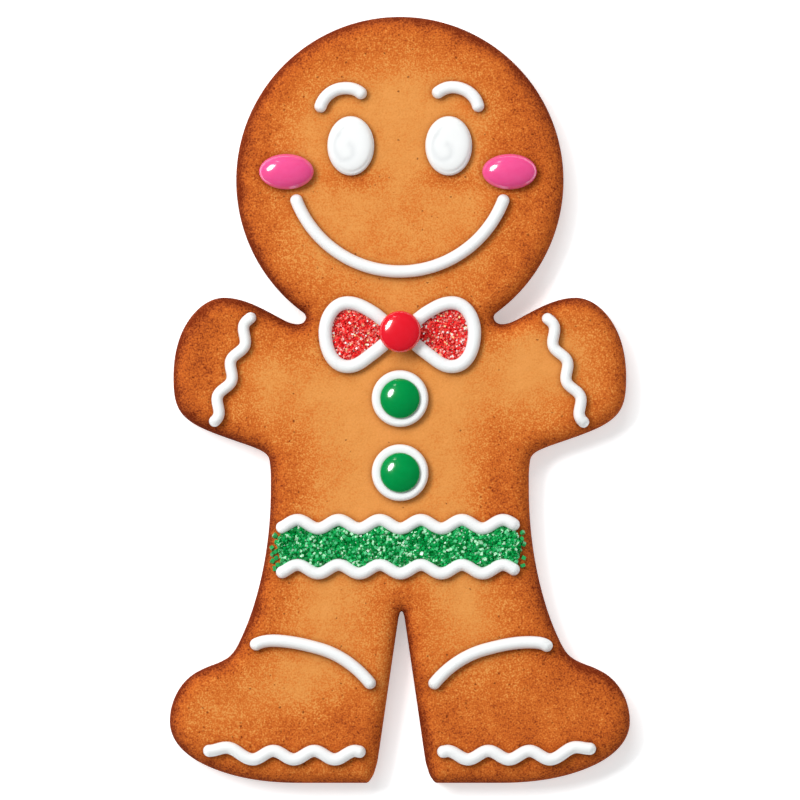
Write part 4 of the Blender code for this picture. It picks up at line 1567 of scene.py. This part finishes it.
@dataclass
class Trims:
    """The paths of all the piped lines."""

    line_width: float = 2.72
    sleeve_width: float = 2.5
    loop_width: float = 2.92
    smile_centre: tuple[float, float] = (0.0, 52.6)
    smile_radius: float = 24.35
    smile_angles: tuple[float, float] = (-159.0, -21.0)
    brow_left: tuple[Anchor, ...] = ((-17.43, 64.55, 73.0), (-12.53, 68.50, 5.0), (-8.58, 67.45, -42.0))
    brow_right: tuple[Anchor, ...] = ((8.40, 67.60, 37.0), (11.50, 68.75, 0.0), (17.20, 64.65, -76.0))
    loop: tuple[Anchor, ...] = (
        (-3.65, 17.50, 141.0),
        (-6.20, 19.40, 149.0),
        (-11.40, 21.35, 180.0),
        (-16.40, 14.80, -90.0),
        (-11.40, 7.35, 0.0),
        (-6.20, 10.05, 37.0),
        (-3.65, 12.10, 41.0),
    )
    belt_midlines: tuple[float, float] = (-27.32, -37.16)
    belt_ends: tuple[float, float] = (-25.88, 25.02)
    belt_crest_x: float = 4.63
    wave_period: float = 9.03
    wave_height: float = 0.94
    sleeve_start_left: tuple[float, float] = (-32.74, 18.03)
    sleeve_start_right: tuple[float, float] = (-32.8, 17.85)
    sleeve_mirror_x: float = -0.2
    sleeve_tilt: float = 20.45
    sleeve_length: float = 24.05
    sleeve_period: float = 8.3
    sleeve_wave: float = 0.85
    sleeve_phase: float = 5.0
    boot_left: tuple[Anchor, ...] = (
        (-31.60, -53.70, 28.0),
        (-26.45, -52.95, -4.0),
        (-17.65, -54.65, -16.0),
        (-6.60, -62.20, -51.0),
    )
    boot_right: tuple[Anchor, ...] = (
        (7.60, -62.25, 51.0),
        (18.90, -54.80, 15.0),
        (29.75, -53.30, -4.0),
        (32.25, -54.00, -35.0),
    )
    hem_outer_left: tuple[tuple[float, float], ...] = ((-41.9, -77.1), (-38.1, -76.4))
    hem_outer_right: tuple[tuple[float, float], ...] = ((-41.1, -76.65), (-38.1, -76.3))
    hem_first_trough_x: float = -32.3
    hem_half_period: float = 4.5
    hem_turns: int = 6
    hem_midline: float = -78.05
    hem_wave: float = 0.93
    hem_end: tuple[float, float] = (-8.85, -77.3)
    hem_mirror_x: float = 0.34
    sugar_overlap: float = 0.15
    belt_sugar_past_ends: tuple[float, float] = (-0.4, 0.6)
    belt_sugar_ends: tuple[float, float] = (-26.9, 26.7)
    belt_sugar_half: float = 2.6
    belt_sugar_bulge: float = 0.10
    knot_overlap: float = 0.2

    def smile_path(self) -> Path:
        """The smile, an arc of a circle."""
        turns = np.radians(np.linspace(*self.smile_angles, 200))
        arc = np.stack([np.cos(turns), np.sin(turns)], axis=1)
        return arc * self.smile_radius + np.array(self.smile_centre)

    def belt_y(self, x: np.ndarray, midline: float) -> np.ndarray:
        """The height of a belt line's centre at x."""
        return midline + self.wave_height * np.cos(2.0 * math.pi * (x - self.belt_crest_x) / self.wave_period)

    def belt_path(self, midline: float) -> Path:
        """One of the belt's wavy lines."""
        x = np.linspace(*self.belt_ends, 500)
        return np.stack([x, self.belt_y(x, midline)], axis=1)

    def sleeve_path(self, start: tuple[float, float]) -> Path:
        """A sleeve's wavy line as on the left sleeve, from the shoulder down.

        Args:
            start: Where it starts.

        Returns:
            The line's points.
        """
        tilt = math.radians(self.sleeve_tilt)
        down = np.array([-math.sin(tilt), -math.cos(tilt)])
        outwards = np.array([-math.cos(tilt), math.sin(tilt)])
        at = np.linspace(0.0, self.sleeve_length, 300)
        phase = 2.0 * math.pi * at / self.sleeve_period + math.radians(self.sleeve_phase)
        sway = self.sleeve_wave * np.sin(phase)
        return np.array(start) + at[:, None] * down + sway[:, None] * outwards

    def hem_path(self, outer: Sequence[tuple[float, float]]) -> Path:
        """A boot's wavy line as on the left boot, from its outer end inwards.

        Args:
            outer: The line's outer end and its first crest.

        Returns:
            The line's points.
        """
        extremes = list(outer)
        for turn in range(self.hem_turns):
            side = -1.0 if turn % 2 == 0 else 1.0
            x = self.hem_first_trough_x + self.hem_half_period * turn
            extremes.append((x, self.hem_midline + side * self.hem_wave))
        extremes.append(self.hem_end)
        share = np.linspace(0.0, 1.0, 30)
        found = [np.array(extremes[:1])]
        for (x0, y0), (x1, y1) in zip(extremes, extremes[1:]):
            eased = (1.0 - np.cos(math.pi * share[1:])) / 2.0
            found.append(np.stack([x0 + (x1 - x0) * share[1:], y0 + (y1 - y0) * eased], axis=1))
        return np.vstack(found)

    def lines(self, ceiling: Callable[[np.ndarray], np.ndarray]) -> list[PipedLine]:
        """Every piped line.

        Args:
            ceiling: The highest that the bow's loops reach under the candy.

        Returns:
            The lines in the order in which they are made.
        """
        loop = curve(self.loop)
        upper, lower = self.belt_midlines
        right_sleeve = flipped(self.sleeve_path(self.sleeve_start_right), self.sleeve_mirror_x)
        return [
            PipedLine("smile", self.smile_path()),
            PipedLine("brow_left", curve(self.brow_left)),
            PipedLine("brow_right", curve(self.brow_right)),
            PipedLine("bow_loop_left", loop, self.loop_width, ceiling=ceiling),
            PipedLine("bow_loop_right", flipped(loop), self.loop_width, ceiling=ceiling),
            PipedLine("sleeve_line_left", self.sleeve_path(self.sleeve_start_left), self.sleeve_width),
            PipedLine("sleeve_line_right", right_sleeve, self.sleeve_width),
            PipedLine("belt_line_upper", self.belt_path(upper)),
            PipedLine("belt_line_lower", self.belt_path(lower)),
            PipedLine("boot_line_left", curve(self.boot_left)),
            PipedLine("boot_line_right", curve(self.boot_right)),
            PipedLine("hem_line_left", self.hem_path(self.hem_outer_left)),
            PipedLine("hem_line_right", flipped(self.hem_path(self.hem_outer_right), self.hem_mirror_x)),
        ]

    def belt_sugar_loop(self) -> Path:
        """The edge of the green sugar, just inside both wavy lines and bulging at its ends."""
        clear = self.line_width / 2.0 - self.sugar_overlap
        across = np.linspace(*np.add(self.belt_ends, self.belt_sugar_past_ends), 110)
        upper = np.stack([across, self.belt_y(across, self.belt_midlines[0]) - clear], axis=1)
        lower = np.stack([across, self.belt_y(across, self.belt_midlines[1]) + clear], axis=1)[::-1]
        middle = sum(self.belt_midlines) / 2.0
        rises = np.linspace(self.belt_sugar_half, -self.belt_sugar_half, 9)
        bulge = self.belt_sugar_bulge * rises**2
        right = np.stack([self.belt_sugar_ends[1] - bulge, middle + rises], axis=1)
        left = np.stack([self.belt_sugar_ends[0] + bulge, middle - rises], axis=1)
        return np.vstack([upper, right, lower, left])

    def bow_sugar_loop(self, knot: KnotCandy) -> Path:
        """The edge of the left bow's red sugar, just inside its loop.

        Args:
            knot: The candy that the sugar runs up to.

        Returns:
            The closed edge.
        """
        path = respaced(curve(self.loop), 0.5)
        along = headings(path)
        clear = self.loop_width / 2.0 - self.sugar_overlap
        inner = path + np.stack([-along[:, 1], along[:, 0]], axis=1) * clear
        spans = np.linalg.norm(inner[:, None, :] - path[None, :, :], axis=2).min(axis=1)
        away = np.linalg.norm(inner - np.array(knot.middle()), axis=1)
        return inner[(spans > UNFOLDED * clear) & (away > knot.half_sizes[0] - self.knot_overlap)][::-1]


@dataclass(frozen=True)
class Lamp:
    """An oval soft light: where it stands, what it gives, its width and height, and if candies mirror it."""

    name: str
    azimuth: float
    elevation: float
    power: float
    size: tuple[float, float]
    mirrored: bool = True

    def place(self, distance: float) -> None:
        """Adds the light, facing the biscuit.

        Args:
            distance: How far from the biscuit it stands, in metres.
        """
        data = bpy.data.lights.new(self.name, "AREA")
        data.shape = "ELLIPSE"
        data.size, data.size_y = self.size
        data.energy = self.power
        lamp = bpy.data.objects.new(self.name, data)
        turn, rise = math.radians(self.azimuth), math.radians(self.elevation)
        towards = Vector((math.cos(rise) * math.cos(turn), math.cos(rise) * math.sin(turn), math.sin(rise)))
        lamp.location = towards * distance
        lamp.rotation_euler = towards.to_track_quat("Z", "Y").to_euler()
        lamp.visible_glossy = self.mirrored
        bpy.context.scene.collection.objects.link(lamp)


@dataclass
class Studio:
    """The white sheet, the lights and the camera that looks straight down."""

    image_side: float = 800.0
    mm_per_pixel: float = 36.0 / 163.55
    axis_pixel: tuple[float, float] = (399.84, 400.0)
    outline_level: float = 4.0
    distance: float = 3000.0
    sensor: float = 36.0
    sheet_side: float = 1600.0
    sky: float = 0.39
    sky_tint: tuple[float, float, float, float] = (0.93, 0.985, 1.0, 1.0)
    lamp_distance: float = 2.0
    view_reach: float = 20.0
    lamps: tuple[Lamp, ...] = (
        Lamp("key_softbox", 149.0, 47.0, 27.0, (1.15, 0.62)),
        Lamp("small_lamp", 112.0, 32.0, 0.6, (0.24, 0.24)),
        Lamp("top_panel", 110.0, 46.0, 14.0, (1.2, 1.2), mirrored=False),
        Lamp("fill_panel", -31.0, 40.0, 5.6, (1.8, 1.8), mirrored=False),
    )

    def lay_sheet(self, material: bpy.types.Material) -> None:
        """Lays the white sheet that the biscuit lies on.

        Args:
            material: The sheet's finish.
        """
        half = self.sheet_side / 2.0 * MM
        mesh = bpy.data.meshes.new("studio_sheet")
        corners = [(-half, -half, 0.0), (half, -half, 0.0), (half, half, 0.0), (-half, half, 0.0)]
        mesh.from_pydata(corners, [], [(0, 1, 2, 3)])
        mesh.materials.append(material)
        sheet = bpy.data.objects.new("studio_sheet", mesh)
        bpy.context.scene.collection.objects.link(sheet)

    def light(self) -> None:
        """Lights the biscuit from the upper left under an even sky that leaves no reflection."""
        world = bpy.data.worlds.new("white_sky")
        world.use_nodes = True
        world.node_tree.nodes["Background"].inputs["Color"].default_value = self.sky_tint
        world.node_tree.nodes["Background"].inputs["Strength"].default_value = self.sky
        world.cycles_visibility.glossy = False
        bpy.context.scene.world = world
        for lamp in self.lamps:
            lamp.place(self.lamp_distance)

    def aim_camera(self) -> None:
        """Places the camera so that its picture has the scale and middle of the photograph."""
        middle = self.image_side / 2.0
        data = bpy.data.cameras.new("camera")
        data.sensor_width = self.sensor
        data.lens = self.sensor * self.distance / (self.image_side * self.mm_per_pixel)
        data.clip_end = self.view_reach
        camera = bpy.data.objects.new("camera", data)
        camera.location = (
            (middle - self.axis_pixel[0]) * self.mm_per_pixel * MM,
            (self.axis_pixel[1] - middle) * self.mm_per_pixel * MM,
            (self.distance + self.outline_level) * MM,
        )
        bpy.context.scene.collection.objects.link(camera)
        bpy.context.scene.camera = camera
        bpy.context.scene.view_settings.view_transform = "Standard"


def main() -> None:
    """Builds every piece of the gingerbread man, then the studio round it."""
    logging.basicConfig(level=logging.INFO, format="%(name)s: %(message)s")
    icing = RoyalIcing().build()
    slab = GingerbreadSlab()
    knot = KnotCandy("bow_candy", (4.6, 4.6), "red_candy")
    knot.build("bow_knot_candy", SugarShell(ShellColour.RED).build())
    trims = Trims()
    lines = trims.lines(knot.ceiling)
    for line in lines:
        line.build(slab, icing)
    green = SugarShell(ShellColour.GREEN).build()
    pink = SugarShell(ShellColour.PINK).build()
    rounds: list[TurnedPiece] = []
    for side in ("left", "right"):
        eye = FloodedEye(f"eye_{side}", (5.14, 6.52), "royal_icing")
        eye.build(f"eye_{side}_flooded", icing)
        cheek = Candy(f"cheek_{side}", (6.01, 3.91), "pink_candy")
        cheek.build(f"cheek_{side}_candy", pink)
        rounds += [eye, cheek]
    for place in ("upper", "lower"):
        ring = ButtonRing(f"button_icing_{place}", (6.23, 6.23), "royal_icing")
        ring.build(f"button_ring_{place}", icing)
        candy = PressedCandy(f"button_candy_{place}", (4.37, 4.37), "green_candy")
        candy.build(f"button_{place}_candy", green)
        rounds.append(ring)
    # The trims and round pieces round which shade is painted on the dough.
    icing_shade = [(respaced(line.path, slab.painted_shade_step), line.width / 2.0) for line in lines]
    icing_shade += [(piece.rim(), 0.0) for piece in rounds]
    slab.build(BakedCrumb().build(), icing_shade)

    edge = trims.belt_sugar_loop()
    belt = SugarBed("belt_sugar", "green_sugar", edge, 1.0, GREEN_TONES, 21, "#0a8a40", strays=BELT_STRAYS)
    belt.build(slab, SandingSugar("green_sanding_sugar").build())
    red_sugar = SandingSugar("red_sanding_sugar").build()
    bow = trims.bow_sugar_loop(knot)
    for side, edge, seed in (("left", bow, 31), ("right", flipped(bow)[::-1], 41)):
        bed = SugarBed(
            f"bow_sugar_{side}", "red_sugar", edge, 0.2, RED_TONES, seed, "#d01c20", crystal=0.52, pitch=0.42
        )
        bed.build(slab, red_sugar)

    studio = Studio()
    studio.lay_sheet(PaleFloor().build())
    studio.light()
    studio.aim_camera()


if __name__ == "__main__":
    main()
